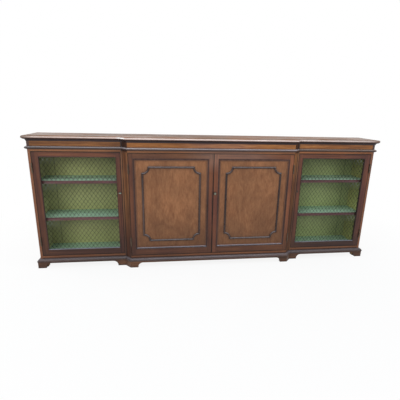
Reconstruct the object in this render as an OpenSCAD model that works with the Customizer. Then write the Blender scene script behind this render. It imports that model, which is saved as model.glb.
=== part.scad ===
// Low breakfront side cabinet: two panelled doors in the middle, a wire-fronted
// bookcase wing at each side, on a plinth with bracket feet.
// Origin: on the floor, in the middle of the whole piece. The front faces -Y.

/* [Overall size] */
// Width over the top board
top_w = 2400; // [2200:10:2600]
// Height over all
total_h = 900; // [860:5:980]
// Depth over the top board
total_d = 306; // [290:2:400]

/* [Top board] */
// Thickness of the top board
top_t = 18; // [14:1:22]
// How far the top stands out past the carcass at the front and the ends
top_overhang = 22; // [18:1:30]
// How far the top stands out past the back
back_overhang = 10; // [0:1:24]

/* [Breakfront] */
// Width of the middle front between its canted corners
centre_w = 1126; // [1000:2:1200]
// How far the middle front stands in front of the wings
break_d = 43; // [32:1:52]
// Width of each canted corner, seen from the front
cant_w = 38; // [30:1:50]
// Flat strip of each corner post beside the wing door
post_stile_w = 10; // [8:1:16]

/* [Carcass boards] */
// Thickness of the end panels
side_t = 16; // [14:1:22]
// Thickness of the two inner partitions
partition_t = 18; // [14:1:22]
// Thickness of the carcass top and floor
board_t = 18; // [14:1:20]
// Thickness of the back boards
back_t = 10; // [6:1:14]
// Thickness of the shelves
shelf_t = 19; // [14:1:24]
// Height of the lower wing shelf's top
lower_shelf_z = 348; // [310:1:380]
// Height of the upper wing shelf's top
upper_shelf_z = 604; // [570:1:640]
// Height of the middle shelf's top
centre_shelf_z = 440; // [380:1:500]
// How far the wing shelves stand back from the wing front
wing_shelf_back = 30; // [26:1:60]
// Distance of the middle shelf behind the corner posts
centre_shelf_back = 10; // [2:1:40]
// Depth of the lipping along each wing shelf
lipping_t = 8; // [5:1:12]
// Side of the square bearers under the shelves
bearer_s = 12; // [8:1:16]
// Side clearance of the loose shelves
shelf_clearance = 0.3; // [0.2:0.1:0.8]

/* [Front levels] */
// Height of the plinth boards
plinth_h = 46; // [42:1:60]
// Height of the moulding on top of the plinth
plinth_moulding_h = 18; // [16:1:24]
// Height of the bottom rail above that moulding
bottom_rail_h = 20; // [14:1:30]
// Height of the top rail, with the half-round moulding on it
top_rail_h = 32; // [28:1:40]
// Height of the frieze
frieze_h = 32; // [24:1:44]
// Height of the hollow moulding under the top
cornice_h = 16; // [12:1:20]

/* [Mouldings] */
// Reach of the hollow moulding
cornice_reach = 16; // [12:1:17]
// Height of the half-round moulding
astragal_h = 18; // [14:1:22]
// Reach of the half-round moulding
astragal_reach = 12; // [10:1:15]
// Small flat on each moulding
fillet_w = 2; // [1:0.5:3]
// Hairline gap left in each mitre and glued joint
hairline = 0.1; // [0.05:0.05:0.2]
// How far the plinth moulding stands out past the plinth
plinth_lip = 3; // [1:0.5:4]
// Ledge left on top of the plinth moulding
plinth_ledge = 5; // [3:0.5:7]

/* [Plinth and feet] */
// How far the plinth stands out past the carcass
plinth_offset = 16; // [10:1:18]
// Thickness of the plinth boards
plinth_t = 24; // [20:1:30]
// Width of each bracket foot
foot_w = 52; // [44:1:66]
// Height of the cut between the feet
apron_h = 36; // [32:1:40]
// Radius at the top of each cut
apron_r = 32; // [10:1:32]
// Side of the glue blocks inside the plinth
block_s = 34; // [24:1:44]

/* [Doors] */
// Thickness of the doors
door_t = 22; // [20:1:26]
// Gap beside each door
door_gap = 1.5; // [1:0.1:2.5]
// Gap above and below each door
door_gap_z = 2; // [1:0.1:3]
// Gap where the middle doors meet
meeting_gap = 2; // [1.6:0.1:3]
// Gap between a closed door and its stop
stop_gap = 0.3; // [0.1:0.1:0.8]
// Thickness of the door stops
stop_t = 12; // [10:1:16]
// Height of the door stops
stop_h = 34; // [30:1:40]
// Hinge stile of a wing door
wing_hinge_stile = 40; // [32:1:50]
// Lock stile of a wing door
wing_lock_stile = 28; // [28:1:44]
// Top rail of a wing door
wing_top_rail = 31; // [24:1:50]
// Bottom rail of a wing door
wing_bottom_rail = 40; // [30:1:60]
// Hinge stile of a middle door
centre_hinge_stile = 28; // [26:1:44]
// Lock stile of a middle door
centre_lock_stile = 30; // [28:1:44]
// Top rail of a middle door
centre_top_rail = 34; // [26:1:50]
// Bottom rail of a middle door
centre_bottom_rail = 45; // [30:1:60]

/* [Panels] */
// Thickness of a door panel
panel_t = 8; // [5:1:9]
// How far a panel lies behind the frame's face
panel_depth = 9; // [8:0.5:11]
// How far a panel reaches into the frame's groove
panel_tongue = 6; // [4:1:8]
// Width of the sloping moulding round a panel
bead_w = 17; // [12:1:22]
// Distance from the frame to the middle of the applied moulding
applied_inset = 60; // [50:1:80]
// Width of the applied moulding
applied_w = 12; // [8:1:16]
// Height of the applied moulding
applied_h = 6.5; // [4:0.5:7.5]
// Radius of its hollow corners
applied_r = 42; // [30:1:60]

/* [Wire grille] */
// Width of one diamond
diamond_w = 27; // [24:1:40]
// Height of one diamond
diamond_h = 37.5; // [30:0.5:50]
// Width of a grille wire
wire_w = 1.8; // [1.2:0.1:2.4]
// Thickness of a grille wire
wire_t = 1.3; // [0.8:0.1:1.6]
// Gap between the two layers of wires
wire_gap = 0.3; // [0.2:0.1:0.6]
// Width of the grille's rim, which lies in the door's rebate
rim_w = 5; // [4:0.5:6]
// Depth of the rebate behind the frame's face
rebate_y = 10; // [8:0.5:12]

/* [Hinges] */
// Height of a hinge
hinge_h = 64; // [50:1:80]
// Distance from a door's end to the middle of its hinge
hinge_inset = 104; // [70:1:130]
// Radius of the barrel
barrel_r = 4; // [3:0.1:4.3]
// How far the pin stands in front of the door's face
pin_out = 5; // [4.8:0.1:6]
// Radius of the pin
pin_r = 1.6; // [1.2:0.1:2]
// Radial clearance of the pin in the knuckles
pin_clearance = 0.05; // [0.03:0.01:0.08]
// Thickness of a leaf
leaf_t = 1.5; // [1:0.1:2]
// How far a leaf reaches back beside the door
leaf_d = 16; // [12:1:18]
// Gap between two knuckles
knuckle_gap = 0.3; // [0.2:0.1:0.6]
// Clearance round the barrel where it passes the other leaf
barrel_clearance = 0.4; // [0.3:0.1:0.6]
// Number of knuckles in a hinge
knuckles = 5; // [3:2:7]

/* [Locks] */
// Height of the keyholes
lock_z = 528; // [480:1:580]
// Width of a lock case, from the door's edge
lock_w = 20.5; // [20:0.5:20.5]
// Distance from the door's edge to the key
key_x = 12; // [11:0.1:12.1]
// Thickness of the lock's edge plate
selvedge_t = 2; // [1.5:0.1:2.5]
// Wall of the lock case
case_wall = 1.4; // [1:0.1:1.6]
// How far the lock case starts behind the door's face
case_y = 11.5; // [11:0.5:12]
// Height of a lock bolt
lock_bolt_h = 8; // [6:0.5:9]
// Thickness of a lock bolt
lock_bolt_t = 5; // [4:0.5:6]
// How far a drawn lock bolt stands back from the door's edge
bolt_back = 0.4; // [0.2:0.1:0.6]
// Travel of a lock bolt
lock_throw = 8; // [6:0.5:8]
// Clearance round a lock bolt
lock_clearance = 0.2; // [0.1:0.05:0.3]
// Clearance round a shot bolt in its hole
hole_clearance = 0.5; // [0.3:0.1:1]
// How far a lock's edge plate reaches past its bolt, up and down
plate_reach = 12; // [8:1:16]
// How far an edge plate reaches in front of its bolt
plate_lead = 3; // [2:0.5:4]
// Clearance round a let-in plate
let_in_clearance = 0.1; // [0.05:0.05:0.3]
// Radius of the key's stem
key_r = 2; // [1.6:0.1:2.4]
// Radius that the key's bit sweeps
bit_r = 6; // [5:0.1:6.4]
// Clearance between the turning bit and what is above and below it
bit_clearance = 0.6; // [0.4:0.1:1]
// Radius of the key's bow
bow_r = 9.5; // [7:0.5:11]
// Thickness of the key's bow
bow_t = 3; // [2:0.5:4]
// How far the key stands out of the door
key_out = 24; // [20:1:26]
// Radius of the turned knob
knob_r = 8.5; // [6:0.5:9]
// How far the knob stands out of the door
knob_out = 20; // [20:0.5:21]
// Radius of the keyhole
keyhole_r = 2.8; // [2.6:0.1:3.2]
// Thickness of the keyhole plates
escutcheon_t = 1.2; // [0.8:0.1:2]

/* [Slide bolts] */
// Radius of the slide bolts
slide_r = 3; // [2.5:0.1:3.5]
// Radial clearance of the slide bolts
slide_clearance = 0.08; // [0.05:0.01:0.1]
// Travel of the slide bolts
slide_throw = 12; // [8:1:14]
// Gap between a drawn slide bolt and the board that it shoots into
slide_gap = 2; // [1:0.5:4]
// Length of a slide bolt
slide_l = 84; // [78:1:100]
// Thickness of the slide bolts' plates
plate_t = 1.6; // [1:0.1:2]

/* [Hidden] */
$fn = 48;

mahogany = "#5f3c30";
dark_mahogany = "#33221e";
satinwood = "#96603a";
panel_brown = "#80583e";
green_paint = "#6a7a45";
old_brass = "#a58a55";
old_iron = "#4a4744";

// Plan: front faces, back faces and the lines of the posts
y_front = -total_d / 2;
y_centre = y_front + top_overhang;
y_wing = y_centre + break_d;
y_back = total_d / 2 - back_overhang;
y_inner_back = y_back - back_t;
x_end = top_w / 2 - top_overhang;
x_side = x_end - side_t;
x_door = centre_w / 2;
x_break = x_door + cant_w;
x_post = x_break + post_stile_w;
x_partition = x_break - partition_t;
rail_t = door_t + stop_gap;
y_post_back = y_wing + rail_t;

// Levels, from the floor up
z_base = plinth_h + plinth_moulding_h;
z_sill = z_base + bottom_rail_h;
z_top = total_h - top_t;
z_cornice = z_top - cornice_h;
z_frieze = z_cornice - frieze_h;
z_head = z_frieze - top_rail_h;
z_floor = z_sill;
z_ceiling = z_top - board_t;
door_z0 = z_sill + door_gap_z;
door_z1 = z_head - door_gap_z;
door_h = door_z1 - door_z0;

// Doors: the edges at the hinges and at the locks
wing_hinge_x = x_side - door_gap;
wing_lock_x = x_post + door_gap;
centre_hinge_x = x_door - door_gap;
centre_lock_x = meeting_gap / 2;
wing_door_w = wing_hinge_x - wing_lock_x;
centre_door_w = centre_hinge_x - centre_lock_x;
hinge_zs = [door_z0 + hinge_inset, door_z1 - hinge_inset];
grille_t = 2 * wire_t + wire_gap;
bead_inner = rim_w + 2;

// Carcass outline in plan, from the back of the left end round to the right
face_path = [[-x_end, y_back], [-x_end, y_wing], [-x_break, y_wing], [-x_door, y_centre],
    [x_door, y_centre], [x_break, y_wing], [x_end, y_wing], [x_end, y_back]];

// Unit vector from one plan point to the next
function heading(a, b) = (b - a) / norm(b - a);
// Outward normal of the length that starts at point i
function face_normal(path, i) =
    let (d = heading(path[i], path[i + 1])) [d[1], -d[0]];
// Outward vector at point i that keeps both neighbouring lengths at one distance
function mitre(path, i) =
    i == 0 ? face_normal(path, 0)
    : i == len(path) - 1 ? face_normal(path, i - 1)
    : let (a = face_normal(path, i - 1), b = face_normal(path, i)) (a + b) / (1 + a * b);
function shifted(path, d) = [for (i = [0 : len(path) - 1]) path[i] + d * mitre(path, i)];

// One mitred length of a moulding, from point i of the path to the next. Its section
// is drawn with x outwards from the face and y upwards.
module mitred_length(path, i, back, reach, z0, z1) {
    d = heading(path[i], path[i + 1]);
    n = face_normal(path, i);
    m0 = mitre(path, i);
    m1 = mitre(path, i + 1);
    b = back + 1;
    r = reach + 1;
    spare = 3 * b + 3 * r;
    start = path[i + 1] + spare * d;
    p = path[i] + hairline / 2 * d;
    q = path[i + 1] - hairline / 2 * d;
    intersection() {
        translate([start[0], start[1], 0])
            rotate([90, 0, atan2(n[1], n[0])])
                linear_extrude(norm(path[i + 1] - path[i]) + 2 * spare)
                    children();
        translate([0, 0, z0 - 1])
            linear_extrude(z1 - z0 + 2)
                polygon([p - b * m0, q - b * m1, q + r * m1, p + r * m0]);
    }
}

module moulding_run(path, back, reach, z0, z1) {
    for (i = [0 : len(path) - 2])
        mitred_length(path, i, back, reach, z0, z1) children();
}

// A box given by its two corners
module block(a, b) {
    translate(a) cube(b - a);
}

module mirrored_pair() {
    children();
    mirror([1, 0, 0]) children();
}

// Draws its children on the left, where the object has them mirrored
module on_left() {
    mirror([1, 0, 0]) children();
}

// Top, mouldings and plinth

// Outline of the flat of the top, behind its rounded edge
nose = top_t / 2;
top_path = shifted([for (i = [0 : len(face_path) - 1])
    [face_path[i][0], i == 0 || i == len(face_path) - 1 ? total_d / 2 : face_path[i][1]]],
    top_overhang - nose);

// The rounded edge along one length of the top
module top_nosing(i) {
    mitred_length(top_path, i, nose, nose, z_top, total_h)
        translate([0, z_top + nose])
            union() {
                translate([-nose / 2, -nose]) square([nose / 2, top_t]);
                intersection() {
                    circle(nose);
                    translate([0, -top_t]) square(2 * top_t);
                }
            }
}

// A long board, widened in the middle by a strip glued to its front
module top_board() {
    y_joint = top_path[2][1];
    color(mahogany) {
        block([top_path[0][0], y_joint, z_top], [top_path[7][0], total_d / 2, total_h]);
        for (i = [0, 1, 5, 6])
            top_nosing(i);
        intersection() {
            union() {
                translate([0, 0, z_top])
                    linear_extrude(top_t)
                        polygon([for (i = [2 : 5]) top_path[i]]);
                for (i = [2 : 4])
                    top_nosing(i);
            }
            block([-top_w / 2, y_front - 1, z_top - 1],
                [top_w / 2, y_joint - hairline, total_h + 1]);
        }
    }
}

module cornice_moulding() {
    color(dark_mahogany)
        moulding_run(face_path, 0, cornice_reach, z_cornice, z_top)
            translate([0, z_cornice])
                difference() {
                    square([cornice_reach, cornice_h]);
                    translate([cornice_reach, 0])
                        circle(min(cornice_reach, cornice_h) - fillet_w);
                }
}

module astragal_moulding() {
    round_r = astragal_h / 2 - fillet_w;
    color(dark_mahogany)
        moulding_run(face_path, 0, astragal_reach, z_frieze - astragal_h, z_frieze)
            translate([0, z_frieze - astragal_h]) {
                square([astragal_reach - round_r, astragal_h]);
                translate([astragal_reach - round_r, astragal_h / 2])
                    intersection() {
                        circle(round_r);
                        translate([-1, -round_r - 1]) square(2 * round_r + 2);
                    }
            }
}

module plinth_moulding() {
    reach = plinth_offset + plinth_lip;
    round_r = min(reach - plinth_ledge, plinth_moulding_h) - fillet_w;
    base_h = plinth_moulding_h - round_r - fillet_w / 2;
    color(dark_mahogany)
        moulding_run(face_path, 0, reach, plinth_h, z_base)
            translate([0, plinth_h]) {
                square([reach, base_h]);
                square([plinth_ledge, plinth_moulding_h]);
                translate([plinth_ledge, base_h])
                    intersection() {
                        circle(round_r);
                        square(round_r);
                    }
            }
}

// Side view of the cut between two feet, on a board of length l
module apron_cut(l, left_foot, right_foot) {
    w = l - left_foot - right_foot;
    translate([left_foot, -1]) square([w, apron_h - apron_r + 1]);
    translate([left_foot + apron_r, -1]) square([w - 2 * apron_r, apron_h + 1]);
    translate([left_foot + apron_r, apron_h - apron_r]) circle(apron_r);
    translate([left_foot + w - apron_r, apron_h - apron_r]) circle(apron_r);
}

// One plinth board along a length of the face, with a cut between its feet if asked
module plinth_board(i, cut) {
    outer = shifted(face_path, plinth_offset);
    inner = shifted(face_path, plinth_offset - plinth_t);
    l = norm(outer[i + 1] - outer[i]);
    n = face_normal(face_path, i);
    d = heading(outer[i], outer[i + 1]);
    e = hairline / 2 * d;
    difference() {
        linear_extrude(plinth_h)
            polygon([outer[i] + e, outer[i + 1] - e, inner[i + 1] - e, inner[i] + e]);
        if (cut)
            translate([outer[i][0] + n[0], outer[i][1] + n[1], 0])
                rotate([90, 0, atan2(d[1], d[0])])
                    translate([0, 0, -plinth_t - 2])
                        linear_extrude(plinth_t + 4)
                            apron_cut(l, foot_w, foot_w);
    }
}

module plinth_front() {
    color(dark_mahogany) {
        plinth_board(1, true);
        plinth_board(2, false);
        plinth_board(3, true);
        plinth_board(4, false);
        plinth_board(5, true);
    }
}

module plinth_ends() {
    color(dark_mahogany) {
        plinth_board(0, true);
        plinth_board(6, true);
    }
}

module plinth_back() {
    x_inner = x_end + plinth_offset - plinth_t;
    color(dark_mahogany)
        block([-x_inner, y_back - plinth_t, 0], [x_inner, y_back, plinth_h]);
}

module glue_blocks() {
    x_in = x_end + plinth_offset - plinth_t;
    y_in = y_wing - plinth_offset + plinth_t;
    y_mid = y_centre - plinth_offset + plinth_t;
    y_rear = y_back - plinth_t;
    color(mahogany) {
        mirrored_pair() {
            block([x_in - block_s, y_in, 0], [x_in, y_in + block_s, plinth_h]);
            block([x_in - block_s, y_rear - block_s, 0], [x_in, y_rear, plinth_h]);
            block([x_partition, y_in, 0], [x_partition + block_s, y_in + block_s, plinth_h]);
            block([x_partition, y_rear - block_s, 0], [x_partition + block_s, y_rear, plinth_h]);
        }
        block([-block_s / 2, y_mid, apron_h], [block_s / 2, y_mid + block_s, plinth_h]);
        block([-block_s / 2, y_rear - block_s, 0], [block_s / 2, y_rear, plinth_h]);
    }
}

// Carcass

// A long board, and a strip in front of it in the middle
module carcass_top() {
    color(mahogany) {
        block([-x_side, y_post_back, z_ceiling], [x_side, y_back, z_top]);
        block([-x_door, y_centre + rail_t, z_ceiling],
            [x_door, y_post_back - hairline, z_top]);
    }
}

module carcass_floor() {
    bolt = slide_place;
    color(green_paint) {
        mirrored_pair()
            block([x_break, y_post_back, z_floor - board_t], [x_side, y_inner_back, z_floor]);
        difference() {
            translate([0, 0, z_floor - board_t])
                linear_extrude(board_t)
                    polygon([[-x_partition, y_post_back], [-x_door, y_post_back],
                        [-x_door, y_centre + rail_t], [x_door, y_centre + rail_t],
                        [x_door, y_post_back], [x_partition, y_post_back],
                        [x_partition, y_inner_back], [-x_partition, y_inner_back]]);
            translate([bolt[0], bolt[1], z_floor - slide_throw])
                cylinder(h = slide_throw + 1, r = slide_r + 0.4);
        }
    }
}

// The end panel, hinged on its inner face, for the right-hand end
module end_panel() {
    difference() {
        block([x_side, y_wing, plinth_h], [x_end, y_back, z_top]);
        for (z = hinge_zs)
            block([x_side - 1, y_wing - 1, z - hinge_h / 2],
                [x_side + leaf_t, y_wing + leaf_d, z + hinge_h / 2]);
    }
}

module left_end_panel() {
    color(mahogany) on_left() end_panel();
}

module right_end_panel() {
    color(mahogany) end_panel();
}

module partition() {
    block([x_partition, y_post_back, plinth_h], [x_break, y_back, z_ceiling]);
}

module left_partition() {
    color(green_paint) on_left() partition();
}

module right_partition() {
    color(green_paint) partition();
}

// The canted corner post on the right, let in for a hinge and for the lock's strike
module corner_post() {
    difference() {
        translate([0, 0, plinth_h])
            linear_extrude(z_top - plinth_h)
                polygon([[x_door, y_centre], [x_break, y_wing], [x_post, y_wing],
                    [x_post, y_post_back], [x_door, y_post_back]]);
        for (z = hinge_zs)
            block([x_door - 1, y_centre - 1, z - hinge_h / 2],
                [x_door + leaf_t, y_centre + leaf_d, z + hinge_h / 2]);
        wing_lock_place() {
            block([door_gap - 1, strike_y[0] - let_in_clearance, strike_z[0] - let_in_clearance],
                [door_gap + leaf_t, rail_t + 1, strike_z[1] + let_in_clearance]);
            bolt_hole(door_gap - 1);
        }
    }
}

module left_corner_post() {
    color(mahogany) on_left() corner_post();
}

module right_corner_post() {
    color(mahogany) corner_post();
}

module back_panels() {
    color(green_paint) {
        mirrored_pair()
            block([x_break, y_inner_back, plinth_h], [x_side, y_back, z_ceiling]);
        block([-x_partition, y_inner_back, plinth_h], [x_partition, y_back, z_ceiling]);
    }
}

// The three boards of one level across the front
module front_boards(z0, z1) {
    mirrored_pair()
        block([x_post, y_wing, z0], [x_side, y_wing + rail_t, z1]);
    block([-x_door, y_centre, z0], [x_door, y_centre + rail_t, z1]);
}

module frieze_boards() {
    color(satinwood) front_boards(z_frieze, z_top);
}

module top_rails() {
    color(satinwood) front_boards(z_head, z_frieze);
}

module bottom_rails() {
    color(satinwood) front_boards(plinth_h, z_sill);
}

module door_stops() {
    z0 = z_head + stop_h / 2 - stop_h;
    bolt = slide_place;
    color(mahogany) {
        mirrored_pair()
            block([x_post, y_wing + rail_t, z0], [x_side, y_wing + rail_t + stop_t, z0 + stop_h]);
        difference() {
            block([-x_door, y_centre + rail_t, z0],
                [x_door, y_centre + rail_t + stop_t, z0 + stop_h]);
            translate([bolt[0], bolt[1], z0 - 1])
                cylinder(h = slide_throw + 4, r = slide_r + 0.4);
        }
    }
}

// Shelves

module wing_shelf(z) {
    block([x_break + shelf_clearance, y_wing + wing_shelf_back + lipping_t, z - shelf_t],
        [x_side - shelf_clearance, y_inner_back - shelf_clearance, z]);
}

module left_wing_shelves() {
    color(green_paint) on_left() {
        wing_shelf(lower_shelf_z);
        wing_shelf(upper_shelf_z);
    }
}

module right_wing_shelves() {
    color(green_paint) {
        wing_shelf(lower_shelf_z);
        wing_shelf(upper_shelf_z);
    }
}

module centre_shelf() {
    x = x_partition - shelf_clearance;
    color(mahogany)
        block([-x, y_post_back + centre_shelf_back, centre_shelf_z - shelf_t],
            [x, y_inner_back - shelf_clearance, centre_shelf_z]);
}

module shelf_lippings() {
    color(dark_mahogany)
        mirrored_pair()
            for (z = [lower_shelf_z, upper_shelf_z])
                block([x_break + shelf_clearance, y_wing + wing_shelf_back, z - shelf_t],
                    [x_side - shelf_clearance, y_wing + wing_shelf_back + lipping_t, z]);
}

// A bearer on each side of one bay under a shelf
module bearers(x0, x1, y0, z) {
    block([x0, y0, z - shelf_t - bearer_s], [x0 + bearer_s, y_inner_back, z - shelf_t]);
    block([x1 - bearer_s, y0, z - shelf_t - bearer_s], [x1, y_inner_back, z - shelf_t]);
}

module shelf_bearers() {
    color(green_paint) {
        mirrored_pair()
            for (z = [lower_shelf_z, upper_shelf_z])
                bearers(x_break, x_side, y_wing + wing_shelf_back + lipping_t, z);
        bearers(-x_partition, x_partition, y_post_back + centre_shelf_back, centre_shelf_z);
    }
}

// Doors. Each is drawn at the right of the middle, with the hinge at its right edge

// A frame between a lock edge and a hinge edge, with its front at y0
module door_frame(x0, x1, y0, lock_stile, hinge_stile, top_rail, bottom_rail) {
    difference() {
        block([x0, y0, door_z0], [x1, y0 + door_t, door_z1]);
        block([x0 + lock_stile, y0 - 1, door_z0 + bottom_rail],
            [x1 - hinge_stile, y0 + door_t + 1, door_z1 - top_rail]);
        for (z = hinge_zs)
            block([x1 - leaf_t, y0 - 1, z - hinge_h / 2],
                [x1 + 1, y0 + leaf_d, z + hinge_h / 2]);
        children();
    }
}

// The sight opening of a wing door, as its two corners in x and z
wing_sight = [[wing_lock_x + wing_lock_stile, door_z0 + wing_bottom_rail],
    [wing_hinge_x - wing_hinge_stile, door_z1 - wing_top_rail]];
centre_sight = [[centre_lock_x + centre_lock_stile, door_z0 + centre_bottom_rail],
    [centre_hinge_x - centre_hinge_stile, door_z1 - centre_top_rail]];

// A box over the sight opening of a door, grown by m, between two depths
module sight_block(sight, m, ya, yb) {
    block([sight[0][0] - m, ya, sight[0][1] - m], [sight[1][0] + m, yb, sight[1][1] + m]);
}

module wing_door_frame() {
    door_frame(wing_lock_x, wing_hinge_x, y_wing, wing_lock_stile, wing_hinge_stile,
        wing_top_rail, wing_bottom_rail) {
        sight_block(wing_sight, bead_inner, y_wing + rebate_y, y_wing + door_t + 1);
        wing_lock_place() lock_pocket();
    }
}

module left_wing_door_frame() {
    color(mahogany) on_left() wing_door_frame();
}

module right_wing_door_frame() {
    color(mahogany) wing_door_frame();
}

module centre_door_frame() {
    y0 = y_centre + panel_depth;
    door_frame(centre_lock_x, centre_hinge_x, y_centre, centre_lock_stile,
        centre_hinge_stile, centre_top_rail, centre_bottom_rail) {
        sight_block(centre_sight, panel_tongue, y0, y0 + panel_t);
        children();
    }
}

module left_centre_door_frame() {
    color(mahogany) on_left()
        centre_door_frame()
            on_left() centre_lock_place() bolt_hole(meeting_gap - 1);
}

module right_centre_door_frame() {
    color(mahogany)
        centre_door_frame()
            centre_lock_place() lock_pocket();
}

// Diagonal wires in one direction, clipped to the middle of the rim
module wire_layer(w, h, side, y0) {
    run = norm([diamond_w, diamond_h]);
    u = [diamond_w / run, side * diamond_h / run];
    v = [-u[1], u[0]];
    pitch = diamond_w * diamond_h / run;
    a = w / 2 + rim_w / 2;
    b = h / 2 + rim_w / 2;
    count = floor((abs(v[0]) * a + abs(v[1]) * b) / pitch);
    for (k = [-count : count]) {
        c = k * pitch;
        tx = a / u[0];
        tz = b / abs(u[1]);
        cx = -v[0] * c / u[0];
        cz = -v[1] * c / u[1];
        t0 = max(cx - tx, cz - tz);
        t1 = min(cx + tx, cz + tz);
        if (t1 - t0 > 3 * rim_w)
            translate([v[0] * c, y0, v[1] * c])
                rotate([0, -atan2(u[1], u[0]), 0])
                    translate([t0, 0, -wire_w / 2])
                        cube([t1 - t0, wire_t, wire_w]);
    }
}

module wing_grille() {
    w = wing_sight[1][0] - wing_sight[0][0];
    h = wing_sight[1][1] - wing_sight[0][1];
    translate([(wing_sight[0][0] + wing_sight[1][0]) / 2, y_wing + rebate_y,
        (wing_sight[0][1] + wing_sight[1][1]) / 2]) {
        difference() {
            block([-w / 2 - rim_w, 0, -h / 2 - rim_w], [w / 2 + rim_w, grille_t, h / 2 + rim_w]);
            block([-w / 2, -1, -h / 2], [w / 2, grille_t + 1, h / 2]);
        }
        wire_layer(w, h, 1, 0);
        wire_layer(w, h, -1, wire_t + wire_gap);
    }
}

module left_wing_grille() {
    color(old_brass) on_left() wing_grille();
}

module right_wing_grille() {
    color(old_brass) wing_grille();
}

// Loose beads that hold a grille in its rebate
module wing_grille_beads() {
    y0 = y_wing + rebate_y + grille_t;
    difference() {
        sight_block(wing_sight, bead_inner, y0, y_wing + door_t);
        sight_block(wing_sight, 0, y0 - 1, y_wing + door_t + 1);
    }
}

module left_wing_grille_beads() {
    color(mahogany) on_left() wing_grille_beads();
}

module right_wing_grille_beads() {
    color(mahogany) wing_grille_beads();
}

module centre_panel() {
    y0 = y_centre + panel_depth;
    sight_block(centre_sight, panel_tongue, y0, y0 + panel_t);
}

module left_centre_panel() {
    color(panel_brown) on_left() centre_panel();
}

module right_centre_panel() {
    color(panel_brown) centre_panel();
}

// Puts a plan drawing upright, so that its x and y lie along x and z and its top
// looks towards the front
module upright(y0) {
    translate([0, y0, 0]) rotate([90, 0, 0]) children();
}

// A closed ring of mitred lengths round a rectangle, the section drawn with x into
// the rectangle and y towards the front
module framed_ring(sight, inset, width, high) {
    a = sight[0] + [inset, inset];
    b = sight[1] - [inset, inset];
    ring = [a, [a[0], b[1]], b, [b[0], a[1]]];
    for (i = [0 : 3]) {
        p = ring[i];
        q = ring[(i + 1) % 4];
        d = heading(p, q);
        n = [d[1], -d[0]];
        intersection() {
            translate([q[0] + d[0], q[1] + d[1], 0])
                rotate([90, 0, atan2(n[1], n[0])])
                    linear_extrude(norm(q - p) + 2)
                        children();
            linear_extrude(high)
                translate(hairline / 2 * d)
                    polygon([p, q - hairline * d, q - hairline * d + width * (n - d),
                        p + width * (n + d)]);
        }
    }
}

// The sloping moulding between a middle door's frame and its panel
module panel_moulding() {
    high = panel_depth;
    hollow = high - fillet_w;
    upright(y_centre + panel_depth)
        framed_ring(centre_sight, 0, bead_w, high)
            difference() {
                square([bead_w, high]);
                translate([bead_w - fillet_w, high])
                    circle(hollow);
                translate([bead_w - fillet_w, fillet_w]) square([bead_w, high]);
                translate([fillet_w + 1, high - fillet_w / 2]) square([bead_w, high]);
            }
}

module left_centre_panel_moulding() {
    color(dark_mahogany) on_left() panel_moulding();
}

module right_centre_panel_moulding() {
    color(dark_mahogany) panel_moulding();
}

// Section of the applied moulding: a round between two flats
module applied_section() {
    half = applied_w / 2;
    round_r = half - fillet_w / 2;
    translate([-half, 0]) square([applied_w, applied_h - round_r]);
    intersection() {
        translate([0, applied_h - round_r]) circle(round_r);
        translate([-half, 0]) square([applied_w, applied_h]);
    }
}

// One straight length of the applied moulding with mitred ends, lying along +y
module applied_straight(l) {
    half = applied_w / 2;
    g = hairline / 2;
    intersection() {
        translate([0, l + half, 0])
            rotate([90, 0, 0])
                linear_extrude(l + 2 * half)
                    applied_section();
        linear_extrude(applied_h)
            polygon([[-half, g - half], [half, half + g], [half, l - half - g],
                [-half, l + half - g]]);
    }
}

// One hollow corner, its centre at the rectangle's corner and the rest at +x, +y
module applied_corner() {
    half = applied_w / 2;
    r = applied_r;
    g = hairline / 2;
    intersection() {
        union() {
            rotate_extrude(angle = 90)
                translate([r, 0]) applied_section();
            translate([r, 0, 0])
                rotate([90, 0, 0]) linear_extrude(half) applied_section();
            translate([-half, r, 0])
                rotate([90, 0, 90]) linear_extrude(half) applied_section();
        }
        linear_extrude(applied_h)
            polygon([[r - half, g - half], [r + half, half + g], [r + half, r + half],
                [half + g, r + half], [g - half, r - half]]);
    }
}

module applied_moulding() {
    a = centre_sight[0] + [applied_inset, applied_inset];
    b = centre_sight[1] - [applied_inset, applied_inset];
    lx = b[0] - a[0] - 2 * applied_r;
    lz = b[1] - a[1] - 2 * applied_r;
    upright(y_centre + panel_depth) {
        translate([a[0], a[1] + applied_r, 0]) applied_straight(lz);
        translate([b[0], b[1] - applied_r, 0]) rotate(180) applied_straight(lz);
        translate([b[0] - applied_r, a[1], 0]) rotate(90) applied_straight(lx);
        translate([a[0] + applied_r, b[1], 0]) rotate(270) applied_straight(lx);
        translate([a[0], a[1], 0]) applied_corner();
        translate([b[0], a[1], 0]) rotate(90) applied_corner();
        translate([b[0], b[1], 0]) rotate(180) applied_corner();
        translate([a[0], b[1], 0]) rotate(270) applied_corner();
    }
}

module left_centre_applied_moulding() {
    color(dark_mahogany) on_left() applied_moulding();
}

module right_centre_applied_moulding() {
    color(dark_mahogany) applied_moulding();
}

// Hinges. A hinge stands at the right of its door, its pin in the middle of the gap

knuckle_l = (hinge_h - (knuckles - 1) * knuckle_gap) / knuckles;

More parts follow.
